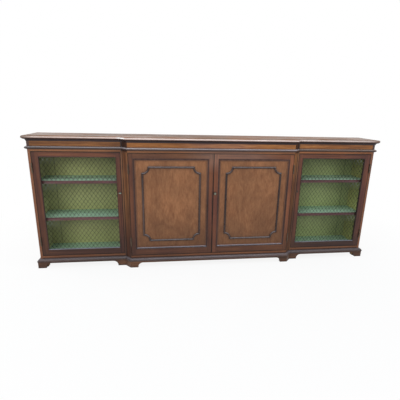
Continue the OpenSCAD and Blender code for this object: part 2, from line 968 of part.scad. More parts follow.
// One leaf: the plate at side 1 is let into the carcass, at side -1 into the door
module hinge_leaf(face_x, y0, z, side) {
    pin = [face_x - door_gap / 2, y0 - pin_out];
    own = side == 1 ? 0 : 1;
    plate_x = side == 1 ? face_x : face_x - door_gap - leaf_t;
    translate([0, 0, z - hinge_h / 2])
        difference() {
            union() {
                block([plate_x, pin[1], 0], [plate_x + leaf_t, y0 + leaf_d, hinge_h]);
                for (k = [own : 2 : knuckles - 1])
                    translate([pin[0], pin[1], k * (knuckle_l + knuckle_gap)])
                        cylinder(h = knuckle_l, r = barrel_r);
            }
            translate([pin[0], pin[1], -1])
                cylinder(h = hinge_h + 2, r = pin_r + pin_clearance);
            for (k = [1 - own : 2 : knuckles - 1])
                translate([pin[0], pin[1], k * (knuckle_l + knuckle_gap) - knuckle_gap])
                    cylinder(h = knuckle_l + 2 * knuckle_gap, r = barrel_r + barrel_clearance);
        }
}

module door_leaves(face_x, y0) {
    for (z = hinge_zs)
        hinge_leaf(face_x, y0, z, -1);
}

module carcass_hinge_leaves() {
    color(old_brass)
        mirrored_pair()
            for (z = hinge_zs) {
                hinge_leaf(x_side, y_wing, z, 1);
                hinge_leaf(x_door, y_centre, z, 1);
            }
}

module hinge_pins() {
    color(old_brass)
        mirrored_pair()
            for (z = hinge_zs, p = [[x_side, y_wing], [x_door, y_centre]])
                translate([p[0] - door_gap / 2, p[1] - pin_out, z - hinge_h / 2])
                    cylinder(h = hinge_h, r = pin_r);
}

module left_wing_hinge_leaves() {
    color(old_brass) on_left() door_leaves(x_side, y_wing);
}

module left_centre_hinge_leaves() {
    color(old_brass) on_left() door_leaves(x_door, y_centre);
}

module right_centre_hinge_leaves() {
    color(old_brass) door_leaves(x_door, y_centre);
}

module right_wing_hinge_leaves() {
    color(old_brass) door_leaves(x_side, y_wing);
}

// Locks. A lock is drawn with the door's lock edge at x = 0 and the door at -x, the
// door's face at y = 0 and the keyhole at z = 0; the bolt shoots towards +x.

// Right-hand wing door: its lock edge looks towards -x
module wing_lock_place() {
    translate([wing_lock_x, y_wing, lock_z]) mirror([1, 0, 0]) children();
}

module centre_lock_place() {
    translate([centre_lock_x, y_centre, lock_z]) mirror([1, 0, 0]) children();
}

bolt_z0 = bit_r + bit_clearance;
bolt_y0 = case_y + (door_t - case_y - lock_bolt_t) / 2;
case_z = [-bit_r - bit_clearance - case_wall,
    bolt_z0 + lock_bolt_h + lock_clearance + case_wall];
strike_z = [bolt_z0 - plate_reach, bolt_z0 + lock_bolt_h + plate_reach];
strike_y = [bolt_y0 - plate_lead, door_t];

// A lock bolt's two corners when it has moved out by s
function lock_bolt_box(s) = [
    [selvedge_t + case_wall - lock_w - bolt_back + s, bolt_y0, bolt_z0],
    [s - bolt_back, bolt_y0 + lock_bolt_t, bolt_z0 + lock_bolt_h]];

// The hole that a shot bolt goes into, from x0 to just past its end
module bolt_hole(x0) {
    bolt = lock_bolt_box(lock_throw);
    c = hole_clearance;
    block([x0, bolt[0][1] - c, bolt[0][2] - c],
        [bolt[1][0] + 2 * c, bolt[1][1] + c, bolt[1][2] + c]);
}

// The room that a lock takes out of its stile: case, edge plate and keyhole
module lock_pocket() {
    block([-lock_w, case_y, case_z[0]], [1, door_t + 1, case_z[1]]);
    block([-selvedge_t, strike_y[0], strike_z[0]], [1, door_t + 1, strike_z[1]]);
    keyhole(-1, door_t);
}

// A keyhole: a round hole with a slot below it
module keyhole(y0, y1) {
    translate([-key_x, y1, 0]) rotate([90, 0, 0]) cylinder(h = y1 - y0, r = keyhole_r);
    block([-key_x - 1.5, y0, -bit_r - bit_clearance], [-key_x + 1.5, y1, 0]);
}

module lock_case() {
    bolt = lock_bolt_box(0);
    difference() {
        union() {
            block([-lock_w, case_y, case_z[0]], [0, door_t, case_z[1]]);
            block([-selvedge_t, strike_y[0], strike_z[0]], [0, door_t, strike_z[1]]);
        }
        block([case_wall - lock_w, case_y + case_wall, case_z[0] + case_wall],
            [-selvedge_t, door_t - case_wall, case_z[1] - case_wall]);
        block([-selvedge_t - 1, bolt[0][1] - lock_clearance, bolt[0][2] - lock_clearance],
            [1, bolt[1][1] + lock_clearance, bolt[1][2] + lock_clearance]);
        keyhole(case_y - 1, case_y + case_wall + 0.5);
    }
}

module lock_bolt() {
    bolt = lock_bolt_box(0);
    block(bolt[0], bolt[1]);
}

// The stem and bit that turn inside a lock, from depth y0 to the back of the case
module key_stem(y0) {
    y1 = door_t - case_wall - 0.4;
    yb = case_y + case_wall + 0.8;
    translate([-key_x, y1, 0]) rotate([90, 0, 0]) cylinder(h = y1 - y0, r = key_r);
    block([-key_x - 1, yb, -bit_r], [-key_x + 1, y1 - 0.4, 0]);
}

// A key whose bow lies flat at rest
module key() {
    bow_y = bow_r - key_out;
    key_stem(bow_y + bow_r / 2);
    difference() {
        translate([-key_x, bow_y, -bow_t / 2]) cylinder(h = bow_t, r = bow_r);
        translate([-key_x, bow_y, -bow_t]) cylinder(h = 2 * bow_t, r = bow_r - 3.4);
    }
}

// A turned ball on a short neck, on the same stem as a key's
module knob() {
    neck_z0 = escutcheon_t + 0.2;
    key_stem(-2);
    translate([-key_x, 0, 0])
        rotate([90, 0, 0]) {
            translate([0, 0, neck_z0]) cylinder(h = knob_out - knob_r - neck_z0, r = knob_r * 0.4);
            translate([0, 0, knob_out - knob_r]) sphere(knob_r);
        }
}

// A flat oval plate round a keyhole
module escutcheon() {
    difference() {
        translate([-key_x, 0, -bit_r / 4])
            rotate([90, 0, 0])
                linear_extrude(escutcheon_t) {
                    translate([0, bit_r * 0.6]) circle(5.5);
                    translate([0, -bit_r * 0.6]) circle(5.5);
                    translate([-5.5, -bit_r * 0.6]) square([11, bit_r * 1.2]);
                }
        keyhole(-escutcheon_t - 1, 1);
    }
}

module left_wing_lock() {
    color(old_iron) on_left() wing_lock_place() lock_case();
}

module right_wing_lock() {
    color(old_iron) wing_lock_place() lock_case();
}

// The middle lock and the small round plate behind its knob
module centre_lock() {
    color(old_brass) centre_lock_place() {
        lock_case();
        difference() {
            translate([-key_x, 0, 0]) rotate([90, 0, 0]) cylinder(h = escutcheon_t, r = knob_r + 1);
            translate([-key_x, 1, 0]) rotate([90, 0, 0]) cylinder(h = 4, r = keyhole_r);
        }
    }
}

module left_wing_lock_bolt() {
    color(old_brass) on_left() wing_lock_place() lock_bolt();
}

module right_wing_lock_bolt() {
    color(old_brass) wing_lock_place() lock_bolt();
}

module centre_lock_bolt() {
    color(old_brass) centre_lock_place() lock_bolt();
}

module left_wing_key() {
    color(old_brass) on_left() wing_lock_place() key();
}

module centre_knob() {
    color(old_brass) centre_lock_place() knob();
}

module left_wing_escutcheon() {
    color(old_iron) on_left() wing_lock_place() escutcheon();
}

module right_wing_escutcheon() {
    color(old_iron) wing_lock_place() escutcheon();
}

// The plates in the corner posts that the wing locks shoot into
module strike_plates() {
    color(old_brass)
        mirrored_pair()
            wing_lock_place()
                difference() {
                    block([door_gap, strike_y[0], strike_z[0]],
                        [door_gap + leaf_t, strike_y[1], strike_z[1]]);
                    bolt_hole(0);
                }
}

// Slide bolts at the back of the left middle door, the upper one at side 1

// Plan place of both slide bolts
slide_place = [-centre_lock_x - centre_lock_stile / 2,
    y_centre + rail_t + stop_t / 2];
// Height of a drawn bolt's outer end
function slide_end(side) = side == 1
    ? z_head + stop_h / 2 - stop_h - slide_gap
    : z_floor + slide_gap;
staple_h = 10;
slide_knob_r = 2.5;

// Draws along the way a bolt shoots, with its drawn outer end at 0
module slide_bolt_place(side) {
    translate([slide_place[0], slide_place[1], slide_end(side)])
        mirror([0, 0, side == 1 ? 0 : 1])
            children();
}

module slide_bolt() {
    translate([0, 0, -slide_l]) cylinder(h = slide_l, r = slide_r);
    translate([0, 0, -slide_l / 2 - 10])
        rotate([-90, 0, 0])
            cylinder(h = slide_r + 6, r = slide_knob_r);
}

// The plate on the door and its two staples, round a bolt whose place is x = y = 0
module slide_bolt_plate() {
    back = y_centre + door_t - slide_place[1];
    top = -slide_throw - 10;
    difference() {
        union() {
            block([-9, back, -slide_l + 1], [9, back + plate_t, top]);
            block([-6, back, top - staple_h], [6, slide_r + 2, top]);
            block([-6, back, 1 - slide_l], [6, slide_r + 2, 1 - slide_l + staple_h]);
        }
        translate([0, 0, -slide_l - 1])
            cylinder(h = slide_l + 2, r = slide_r + slide_clearance);
    }
}

module slide_bolt_plates() {
    color(old_brass) {
        slide_bolt_place(1) slide_bolt_plate();
        slide_bolt_place(-1) slide_bolt_plate();
    }
}

module upper_slide_bolt() {
    color(old_iron) slide_bolt_place(1) slide_bolt();
}

module lower_slide_bolt() {
    color(old_iron) slide_bolt_place(-1) slide_bolt();
}

top_board();
cornice_moulding();
astragal_moulding();
plinth_moulding();
carcass_top();
carcass_floor();
left_end_panel();
right_end_panel();
left_partition();
right_partition();
left_corner_post();
right_corner_post();
back_panels();
frieze_boards();
top_rails();
bottom_rails();
door_stops();
left_wing_shelves();
right_wing_shelves();
centre_shelf();
shelf_lippings();
shelf_bearers();
plinth_front();
plinth_ends();
plinth_back();
glue_blocks();
left_wing_door_frame();
left_wing_grille();
left_wing_grille_beads();
right_wing_door_frame();
right_wing_grille();
right_wing_grille_beads();
left_centre_door_frame();
left_centre_panel();
left_centre_panel_moulding();
left_centre_applied_moulding();
right_centre_door_frame();
right_centre_panel();
right_centre_panel_moulding();
right_centre_applied_moulding();
carcass_hinge_leaves();
hinge_pins();
left_wing_hinge_leaves();
left_centre_hinge_leaves();
right_centre_hinge_leaves();
right_wing_hinge_leaves();
left_wing_lock();
left_wing_lock_bolt();
left_wing_key();
right_wing_lock();
right_wing_lock_bolt();
centre_lock();
centre_lock_bolt();
centre_knob();
left_wing_escutcheon();
right_wing_escutcheon();
strike_plates();
slide_bolt_plates();
upper_slide_bolt();
lower_slide_bolt();
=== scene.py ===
import math

import bpy
import numpy as np
from mathutils import Matrix, Vector


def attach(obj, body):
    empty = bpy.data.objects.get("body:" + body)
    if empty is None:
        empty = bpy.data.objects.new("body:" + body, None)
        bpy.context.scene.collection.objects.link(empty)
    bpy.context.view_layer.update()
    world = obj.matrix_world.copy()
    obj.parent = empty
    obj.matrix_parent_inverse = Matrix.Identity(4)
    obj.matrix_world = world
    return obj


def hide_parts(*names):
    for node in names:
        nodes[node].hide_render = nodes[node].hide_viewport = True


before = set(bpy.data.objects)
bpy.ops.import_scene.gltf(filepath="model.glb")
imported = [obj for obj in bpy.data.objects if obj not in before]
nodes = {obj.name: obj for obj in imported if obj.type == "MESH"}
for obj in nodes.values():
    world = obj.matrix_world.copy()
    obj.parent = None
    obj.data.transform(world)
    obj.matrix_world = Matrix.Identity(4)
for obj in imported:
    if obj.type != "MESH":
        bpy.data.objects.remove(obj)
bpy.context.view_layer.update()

print("frame loaded with", len(nodes), "nodes")

cabinet = {  # lines of the CAD model that the patterns below are placed by, in metres
    "length": 2.4, "height": 0.9,
    "doors": (0.086, 0.800),                          # lowest and highest line of the doors
    "panelSight": ((0.031, 0.5335), (0.131, 0.766)),  # opening round each middle panel
    "wingStart": 0.592,                               # boards beyond this are inside a wing
    "paintStart": -0.063,                             # the paint lies behind this line
    "breaks": (-0.601, 0.601), "breakBlur": 0.012,    # ends of the middle front
    # heights in the wings: floor to shelf, shelf to shelf, shelf to the rail of the door
    "bays": ((0.084, 0.329), (0.348, 0.585), (0.604, 0.766)),
    # where a band of painted light on the wires under a shelf starts, is full, is full still and
    # ends, from the bay's top
    "band": (-0.050, -0.020, 0.005, 0.018),
}


# Small helpers for material nodes.

def tint(r, g, b):
    # screen colour, 0 to 255, as the linear colour that a shader wants
    c = np.array([r, g, b]) / 255
    c = np.where(c <= 0.04045, c / 12.92, ((c + 0.055) / 1.055) ** 2.4)
    return (*[float(x) for x in c], 1.0)


def grey(value):
    return (value, value, value, 1.0)


def feed(tree, node, sockets):
    # each socket gets a link, or a fixed value of its own
    for key, value in sockets.items():
        if isinstance(value, bpy.types.NodeSocket):
            tree.links.new(value, node.inputs[key])
        else:
            node.inputs[key].default_value = value


def put(tree, kind, sockets=None, **settings):
    # one shader node, its settings first and then its sockets
    made = tree.nodes.new(kind)
    for key, value in settings.items():
        setattr(made, key, value)
    feed(tree, made, sockets or {})
    return made


def calc(tree, operation, *values, clamp=False):
    return put(tree, "ShaderNodeMath", dict(enumerate(values)),
               operation=operation, use_clamp=clamp).outputs[0]


def times(tree, first, *others):
    for other in others:
        first = calc(tree, "MULTIPLY", first, other)
    return first


def apart(tree, a, b):
    # distance between two numbers
    return calc(tree, "ABSOLUTE", calc(tree, "SUBTRACT", a, b))


def between(tree, value, low, high, least=0.0, most=1.0):
    # goes from least to most while the value goes from low to high
    return put(tree, "ShaderNodeMapRange",
               {0: value, 1: low, 2: high, 3: least, 4: most}).outputs[0]


def split(tree, vector):
    # its x, y and z
    return put(tree, "ShaderNodeSeparateXYZ", {0: vector}).outputs


def mixColour(tree, factor, a, b, way="MIX"):
    return put(tree, "ShaderNodeMix", {0: factor, 6: a, 7: b},
               data_type="RGBA", blend_type=way).outputs[2]


def toned(tree, colour, tone):
    # the colour multiplied by the tone
    return mixColour(tree, 1.0, colour, tone, "MULTIPLY")


def ramp(tree, factor, stops):
    # stops are (place, tone) pairs from 0 to 1, a tone being a colour or one grey value
    made = put(tree, "ShaderNodeValToRGB", {"Fac": factor})
    bar = made.color_ramp
    while len(bar.elements) < len(stops):
        bar.elements.new(0.5)
    for spot, (place, tone) in zip(bar.elements, stops):
        spot.position = place
        spot.color = (*tone[:3], 1.0) if isinstance(tone, tuple) else grey(tone)
    return made.outputs["Color"]


def byPlace(tree, parts, stops):
    # stops from the left end of the cabinet, 0, to its right end, 1
    return ramp(tree, calc(tree, "MULTIPLY_ADD", parts[0], 1 / cabinet["length"], 0.5), stops)


def byHeight(tree, parts, stops):
    # stops from the floor, 0, to the top of the cabinet, 1
    return ramp(tree, calc(tree, "DIVIDE", parts[2], cabinet["height"]), stops)


def sections(left, middle, right):
    # stops by place for one tone in each wing and one between the breaks
    blur = cabinet["breakBlur"]
    paintedLightSpots = [(end + side * blur) / cabinet["length"] + 0.5
             for end in cabinet["breaks"] for side in (-1, 1)]
    return list(zip(paintedLightSpots, (left, middle, middle, right)))


def bayShadeTones(foot, head):
    # stops by height for walls in painted shade that darkens from each shelf up to the next one
    return [(level / cabinet["height"], tone)
            for bay in cabinet["bays"] for level, tone in zip(bay, (foot, head))]


def paintedLitBands(most):
    # stops by height for a band at the top of each bay, where the wires get painted light before
    # the shaded wall
    return [((bay[1] + away) / cabinet["height"], tone) for bay in cabinet["bays"]
            for away, tone in zip(cabinet["band"], (0.0, most, most, 0.0))]


def noise(tree, place, stretch, detail=3.0, rough=0.55, swirl=0.0):
    # a noise whose features are 1/stretch metres long in each direction
    moved = put(tree, "ShaderNodeMapping", {"Vector": place, "Scale": stretch}).outputs[0]
    return put(tree, "ShaderNodeTexNoise",
               {"Vector": moved, "Scale": 1.0, "Detail": detail, "Roughness": rough,
                "Distortion": swirl}).outputs["Fac"]


def occlusion(tree, distance, samples):
    # 1 in the open, less where something stands within that distance
    return put(tree, "ShaderNodeAmbientOcclusion", {"Distance": distance},
               samples=samples, only_local=False).outputs["AO"]


def bump(tree, height, strength, distance, **normal):
    return put(tree, "ShaderNodeBump", {"Height": height, "Strength": strength,
               "Distance": distance, **normal}).outputs[0]


def faceNormal(tree):
    return put(tree, "ShaderNodeNewGeometry").outputs["True Normal"]


def startFinish(name):
    # a new material, with its shader and the Object coordinates of the surface
    finish = bpy.data.materials.new(name)
    finish.use_nodes = True
    tree = finish.node_tree
    tree.nodes.clear()
    shader = put(tree, "ShaderNodeBsdfPrincipled")
    put(tree, "ShaderNodeOutputMaterial", {0: shader.outputs[0]})
    place = put(tree, "ShaderNodeTexCoord").outputs["Object"]
    return finish, tree, shader, place


# Wood. Tones by height, painted light and shade, and tones in across, by place, multiply the
# colour. Figure, streaks and pores are given as features per metre, first along the grain and then
# across it.

commonWood = {  # what a wood has unless it says otherwise
    "swirl": 0.5, "streaks": (3.5, 190), "pores": (38, 900), "poreTone": 0.72,
    "figureShare": 0.62, "streakShare": 0.45,
    "clouds": (2.2, 2.2, 3.0), "cloudDark": 0.78, "cloudLight": 1.16,
    # grime with painted shade in corners and creases: its tone, reach and share
    "grimeAndShade": tint(46, 42, 46), "grimeShadeReach": 0.014, "grimeShadeShare": 0.9,
    # edges rubbed pale by wear and painted as highlights
    "round": 0.0014, "rubAndHighlight": 0.7, "rubHighlightColour": tint(150, 104, 76),
    "gloss": (0.30, 0.52), "shine": 0.3, "bump": 0.16, "bumpDepth": 0.0006,
    # widths of the seam, the painted shade line on a post, the slope's soft edge and the painted
    # white glint on the nose
    "seamReach": 0.002, "postShadeReach": 0.01, "slopeBlend": 0.001, "glintReach": 0.1,
    # features per metre, along x, y and z, of what makes each kind of wear, painted shade and
    # painted highlight uneven
    "rimNoise": (9, 9, 9), "rubHighlightNoise": (14, 14, 14), "dustHighlightNoise": (5, 30, 9),
    "noseHighlightNoise": (4, 9, 9), "hazeReflectionNoise": (3.2, 14, 3), "sheenNoise": (6, 6, 6),
}

woods = {
    "topPolish": dict(
        grain="x", dark=tint(88, 53, 29), mid=tint(118, 74, 38), light=tint(146, 98, 54),
        # cloudy bluish and warm patches, partly painted reflection
        figure=(1.0, 16), swirl=0.9, clouds=(3.4, 5, 3), cloudDark=tint(196, 204, 220),
        cloudLight=(1.12, 1.04, 0.94), gloss=(0.26, 0.44), shine=0.04, rubAndHighlight=0.0, round=0.003,
        # wax haze with painted reflection in greyish patches
        hazeAndReflection=dict(tone=tint(156, 154, 152), patch=(0.56, 0.82), most=0.48, outward=0.18),
        # painted highlight along the nose, a painted white glint at the left break, painted shade
        # under the nose
        noseHighlightAndShade=dict(
            tone=tint(226, 208, 202), under=tint(70, 46, 40), glintAt=-0.602,
            across=((0.005, 0.0), (0.03, 0.75), (0.3, 1.0), (0.7, 0.95), (0.97, 0.75),
                    (0.995, 0.1)))),
    "frieze": dict(
        grain="x", dark=tint(100, 54, 22), mid=tint(150, 94, 46), light=tint(186, 124, 66),
        figure=(3.0, 46), swirl=1.2, streaks=(9, 190), gloss=(0.34, 0.5), grimeShadeReach=0.02,
        across=sections(0.6, 0.9, 0.9),
        # painted bluish sheen round the middle of the frieze
        paintedLightSpots=[dict(at=(0.05, 0.85), reach=(0.30, 0.1), tone=(0.0, 0.014, 0.032, 1), way="ADD")]),
    "topRails": dict(
        grain="x", dark=tint(118, 71, 42), mid=tint(156, 103, 66), light=tint(182, 125, 82),
        figure=(1.0, 40), swirl=0.3, gloss=(0.34, 0.5),
        across=sections(0.75, 0.75, (0.8, 0.7, 0.6)),
        # painted bluish sheen round the middle of the top rail
        paintedLightSpots=[dict(at=(0.05, 0.81), reach=(0.30, 0.1), tone=(0.0, 0.018, 0.028, 1), way="ADD")]),
    "bottomRails": dict(
        grain="x", dark=tint(70, 42, 26), mid=tint(98, 60, 38), light=tint(124, 80, 52),
        figure=(1.0, 40), swirl=0.3, gloss=(0.34, 0.5),
        across=sections(1.0, 1.0, 0.85),
        # painted shadow along the rail's lower edge, over the plinth moulding
        paintedShadingByHeight=((0.0760, (0.42, 0.46, 0.60)), (0.0795, 1.10))),
    "hollowMoulding": dict(
        # dark tones: mahogany with painted shade under the top
        grain="x", dark=tint(30, 20, 23), mid=tint(46, 34, 36), light=tint(64, 49, 49),
        figure=(1.4, 40), gloss=(0.3, 0.46), rubAndHighlight=0.3),
    "roundMoulding": dict(
        grain="x", dark=tint(44, 32, 32), mid=tint(68, 52, 50), light=tint(92, 72, 67),
        figure=(1.4, 40), gloss=(0.24, 0.4), rubAndHighlight=0.4,
        # painted highlight on the upper half, with dust
        dustAndHighlight=dict(tone=tint(184, 178, 182), facing=(0.1, 0.8), most=0.88, below=1.0),
        across=sections(0.7, 1.1, (0.7, 0.6, 0.5))),
    "plinthMoulding": dict(
        grain="x", dark=tint(50, 36, 35), mid=tint(74, 57, 53), light=tint(96, 76, 70),
        figure=(1.4, 40), gloss=(0.28, 0.46), rubAndHighlight=0.4,
        # painted highlight on the rounded top, with dust
        dustAndHighlight=dict(tone=tint(136, 130, 136), facing=(0.2, 0.9), most=0.55, below=1.0),
        across=sections(0.75, 0.95, 0.7)),
    "plinthWood": dict(
        grain="x", dark=tint(46, 28, 19), mid=tint(73, 47, 32), light=tint(98, 67, 45),
        figure=(1.4, 30), gloss=(0.4, 0.6), rubAndHighlight=0.6,
        # painted light round the left break, where light falls from the left; lighter in the middle
        # too
        across=((0.215, 1.0), (0.235, 1.8), (0.285, 1.8), (0.30, 1.4), (0.68, 1.4), (0.70, 1.0))),
    "wingFrame": dict(
        grain="z", dark=tint(62, 34, 24), mid=tint(92, 55, 40), light=tint(116, 74, 50),
        figure=(1.4, 32), gloss=(0.34, 0.52), cloudDark=tint(204, 186, 206),
        cloudLight=(1.24, 1.12, 0.96), stiles=(0.6405, 1.1205),
        # dirt and painted shadow in a rim beside the door gap
        rim=dict(span=(0.6125, 1.1605), width=0.018),
        across=((0.0333, 0.80), (0.0340, 1.0), (0.9660, 1.1), (0.9667, 1.25)),
        # painted shade towards the bottom of the door
        paintedShadingByHeight=((0.12, (0.5, 0.55, 0.6)), (0.5, 1.0)),
        # painted shade on the right wing door's bottom rail
        paintedLightSpots=[dict(at=(0.90, 0.10), reach=(0.44, 0.09), tone=(0.60, 0.64, 0.80, 1),
                    way="MULTIPLY")]),
    "middleFrame": dict(
        grain="z", dark=tint(70, 40, 26), mid=tint(103, 64, 43), light=tint(128, 82, 54),
        figure=(1.4, 32), gloss=(0.34, 0.52), cloudDark=tint(206, 188, 204),
        cloudLight=(1.24, 1.12, 0.96), stiles=(0.031, 0.5335),
        # dirt and painted shadow in a rim beside the door gap
        rim=dict(span=(0.001, 0.5615), width=0.014),
        across=((0.277, 0.82), (0.279, 1.0), (0.499, 1.0), (0.501, 1.40), (0.513, 1.40),
                (0.515, 1.0), (0.722, 1.0), (0.724, 1.15)),
        # painted shade towards the bottom of the door
        paintedShadingByHeight=((0.12, (0.6, 0.65, 0.7)), (0.4, 1.0)),
        # painted sheen near the top of the middle doors, painted shade on the left one's top rail
        paintedLightSpots=[dict(at=(0.13, 0.80), reach=(0.34, 0.13), tone=(0.034, 0.036, 0.036, 1),
                    way="ADD"),
               dict(at=(-0.30, 0.785), reach=(0.42, 0.03), tone=(0.74, 0.86, 0.95, 1),
                    way="MULTIPLY")]),
    "doorPanel": dict(
        grain="z", dark=tint(112, 70, 42), mid=tint(130, 86, 55), light=tint(144, 99, 65),
        figure=(4.0, 9), swirl=2.8, streaks=(24, 90), clouds=(7, 7, 6), cloudDark=0.84,
        # grime and painted shade round the moulding
        cloudLight=1.1, gloss=(0.36, 0.5), grimeShadeReach=0.034, grimeAndShade=tint(90, 76, 72),
        # painted shade on the panel beside the moulding
        shadeBesideMoulding=dict(margin=0.03, shade=(0.70, 0.92), tone=(0.36, 0.42, 0.56, 1)),
        # painted shade low on the panel, painted light near its top
        paintedShadingByHeight=((0.17, 0.65), (0.45, 1.0), (0.75, 1.0), (0.84, 1.15))),
    "panelMoulding": dict(
        grain="z", dark=tint(46, 33, 32), mid=tint(66, 48, 45), light=tint(88, 65, 58),
        figure=(1.4, 40), gloss=(0.24, 0.38), shine=0.2, rubAndHighlight=0.25,
        slope=dict(start=0.010, tone=tint(88, 58, 36)),
        # painted highlight on the upward-facing bottom run, with dust
        dustAndHighlight=dict(tone=tint(166, 176, 194), facing=(0.60, 0.92), most=0.92, below=0.2)),
    "appliedMoulding": dict(
        grain="z", dark=tint(40, 32, 33), mid=tint(66, 53, 51), light=tint(92, 75, 70),
        figure=(1.4, 40), gloss=(0.22, 0.38), shine=0.25, rubAndHighlight=0.5,
        # painted highlight on the upper faces, with dust
        dustAndHighlight=dict(tone=tint(146, 142, 146), facing=(0.3, 0.85), most=0.6, below=1.0)),
    "cornerPost": dict(
        grain="z", dark=tint(72, 42, 26), mid=tint(104, 66, 43), light=tint(132, 86, 55),
        # painted shade line down the corner at the break
        figure=(1.4, 32), gloss=(0.34, 0.52), grimeShadeReach=0.010, grimeShadeShare=0.6, shadeLineAt=0.601,
        cloudDark=tint(206, 188, 200), cloudLight=(1.2, 1.12, 0.98),
        across=((0.4, 0.80), (0.6, 1.04)),
        # painted light and shade by height: shaded low and under the top, lit above
        paintedShadingByHeight=((0.2, (0.7, 0.8, 1.0)), (0.75, (1.9, 2.3, 2.3)), (0.888, (1.9, 2.3, 2.3)),
              (0.90, 0.45))),
    "shelfLip": dict(
        grain="x", dark=tint(78, 46, 50), mid=tint(104, 68, 70), light=tint(124, 86, 86),
        figure=(1.4, 32), gloss=(0.34, 0.52)),
    "hiddenWood": dict(
        grain="x", dark=tint(112, 84, 54), mid=tint(142, 110, 74), light=tint(164, 132, 94),
        figure=(1.0, 16), gloss=(0.6, 0.8), bump=0.3),
    "bead": dict(
        grain="z", dark=tint(42, 30, 32), mid=tint(62, 45, 45), light=tint(84, 61, 57),
        figure=(1.4, 32), gloss=(0.26, 0.42), shine=0.2, rubAndHighlight=0.3, grimeShadeShare=0.5,
        # painted highlight on the bottom bead's upper face, with dust
        dustAndHighlight=dict(tone=tint(170, 180, 196), facing=(0.3, 0.7), most=0.62, below=0.14)),
}


def grainColour(tree, place, look, axis):
    # broad figure, then streaks along the grain, then fine dark pores
    def grainNoise(size, *rest):
        stretch = tuple(size[0] if a == axis else size[1] for a in "xyz")
        return noise(tree, place, stretch, *rest)

    figure = grainNoise(look["figure"], 4, 0.6, look["swirl"])
    streak = grainNoise(look["streaks"], 3, 0.6, 0.1)
    pores = grainNoise(look["pores"], 2, 0.5)
    blend = calc(tree, "MULTIPLY_ADD", streak, look["streakShare"],
                 times(tree, figure, look["figureShare"]))
    colour = ramp(tree, blend, [(0.36, look["dark"]), (0.53, look["mid"]), (0.70, look["light"])])
    colour = toned(tree, colour, ramp(tree, pores, [(0.36, look["poreTone"]), (0.47, 1.0)]))
    return colour, blend, pores


def insetFrom(tree, parts, xSpan, zSpan):
    # distance inwards from the nearest edge of a rectangle that is alike on both sides
    side = calc(tree, "ABSOLUTE", parts[0])
    level = calc(tree, "MINIMUM", calc(tree, "SUBTRACT", side, xSpan[0]),
                 calc(tree, "SUBTRACT", xSpan[1], side))
    upright = calc(tree, "MINIMUM", calc(tree, "SUBTRACT", parts[2], zSpan[0]),
                   calc(tree, "SUBTRACT", zSpan[1], parts[2]))
    return calc(tree, "MINIMUM", level, upright)


def frameJoints(tree, place, parts, look, colour):
    # upright grain in the stiles, level grain in the rails, a dark seam where they meet
    inner, outer = look["stiles"]
    side = calc(tree, "ABSOLUTE", parts[0])
    upright = calc(tree, "MAXIMUM", calc(tree, "LESS_THAN", side, inner),
                   calc(tree, "GREATER_THAN", side, outer))
    rails = grainColour(tree, place, look, "x")[0]
    joint = calc(tree, "MINIMUM", apart(tree, side, inner), apart(tree, side, outer))
    seam = ramp(tree, calc(tree, "DIVIDE", joint, look["seamReach"]), [(0.12, 0.45), (0.5, 1.0)])
    return toned(tree, mixColour(tree, upright, rails, colour), seam)


def doorEdgeShade(tree, place, parts, look):
    # dark rim of dirt and painted shadow from the gap along the door's outer edges, of uneven width
    inset = insetFrom(tree, parts, look["rim"]["span"], cabinet["doors"])
    width = times(tree, noise(tree, place, look["rimNoise"], 3), look["rim"]["width"])
    return ramp(tree, calc(tree, "DIVIDE", inset, width),
                [(0.18, tint(64, 56, 64)), (0.40, 0.74), (0.9, 1.0)])


def postShadeLine(tree, parts, look):
    # painted shade line down the arris of a post, at that distance from the middle
    away = apart(tree, calc(tree, "ABSOLUTE", parts[0]), look["shadeLineAt"])
    return ramp(tree, calc(tree, "DIVIDE", away, look["postShadeReach"]),
                [(0.14, tint(60, 54, 60)), (0.36, 1.0)])


def waxHazeAndReflection(tree, place, parts, look, colour):
    # greyish haze of old wax with painted reflection, in patches, more of it towards the ends
    hazeAndReflection = look["hazeAndReflection"]
    patches = noise(tree, place, look["hazeReflectionNoise"], 5, 0.62, 0.4)
    outward = calc(tree, "ABSOLUTE", parts[0])
    amount = calc(tree, "MULTIPLY_ADD", outward, hazeAndReflection["outward"], patches)
    low, high = hazeAndReflection["patch"]
    return mixColour(tree, ramp(tree, amount, [(low, 0.0), (high, hazeAndReflection["most"])]),
                     colour, hazeAndReflection["tone"])


def grimeAndShadeInCorners(tree, parts, look, colour):
    # grime and painted shade in the corners, and painted shade beside the moulding on a panel
    reach = occlusion(tree, look["grimeShadeReach"], 6)
    grimeAndShade = ramp(tree, reach, [(0.3, look["grimeAndShade"]), (0.84, 1.0)])
    colour = mixColour(tree, look["grimeShadeShare"], colour, toned(tree, colour, grimeAndShade))
    # painted shade on the panel next to the moulding
    if "shadeBesideMoulding" in look:
        shadeBesideMoulding = look["shadeBesideMoulding"]
        low, high = shadeBesideMoulding["shade"]
        inset = insetFrom(tree, parts, *cabinet["panelSight"])
        beside = times(tree, ramp(tree, reach, [(low, 1.0), (high, 0.0)]),
                       calc(tree, "GREATER_THAN", inset, shadeBesideMoulding["margin"]))
        colour = mixColour(tree, beside, colour, toned(tree, colour, shadeBesideMoulding["tone"]))
    return colour


def paintedLightSpot(tree, parts, spot, colour):
    # painted shade round one place where the tone multiplies, painted sheen where it adds; the
    # place given by x and z and how far it reaches in each
    (x, z), (xReach, zReach) = spot["at"], spot["reach"]
    away = calc(tree, "MAXIMUM", calc(tree, "DIVIDE", apart(tree, parts[0], x), xReach),
                calc(tree, "DIVIDE", apart(tree, parts[2], z), zReach))
    return mixColour(tree, ramp(tree, away, [(0.45, 1.0), (1.0, 0.0)]), colour,
                     mixColour(tree, 1.0, colour, spot["tone"], spot["way"]))


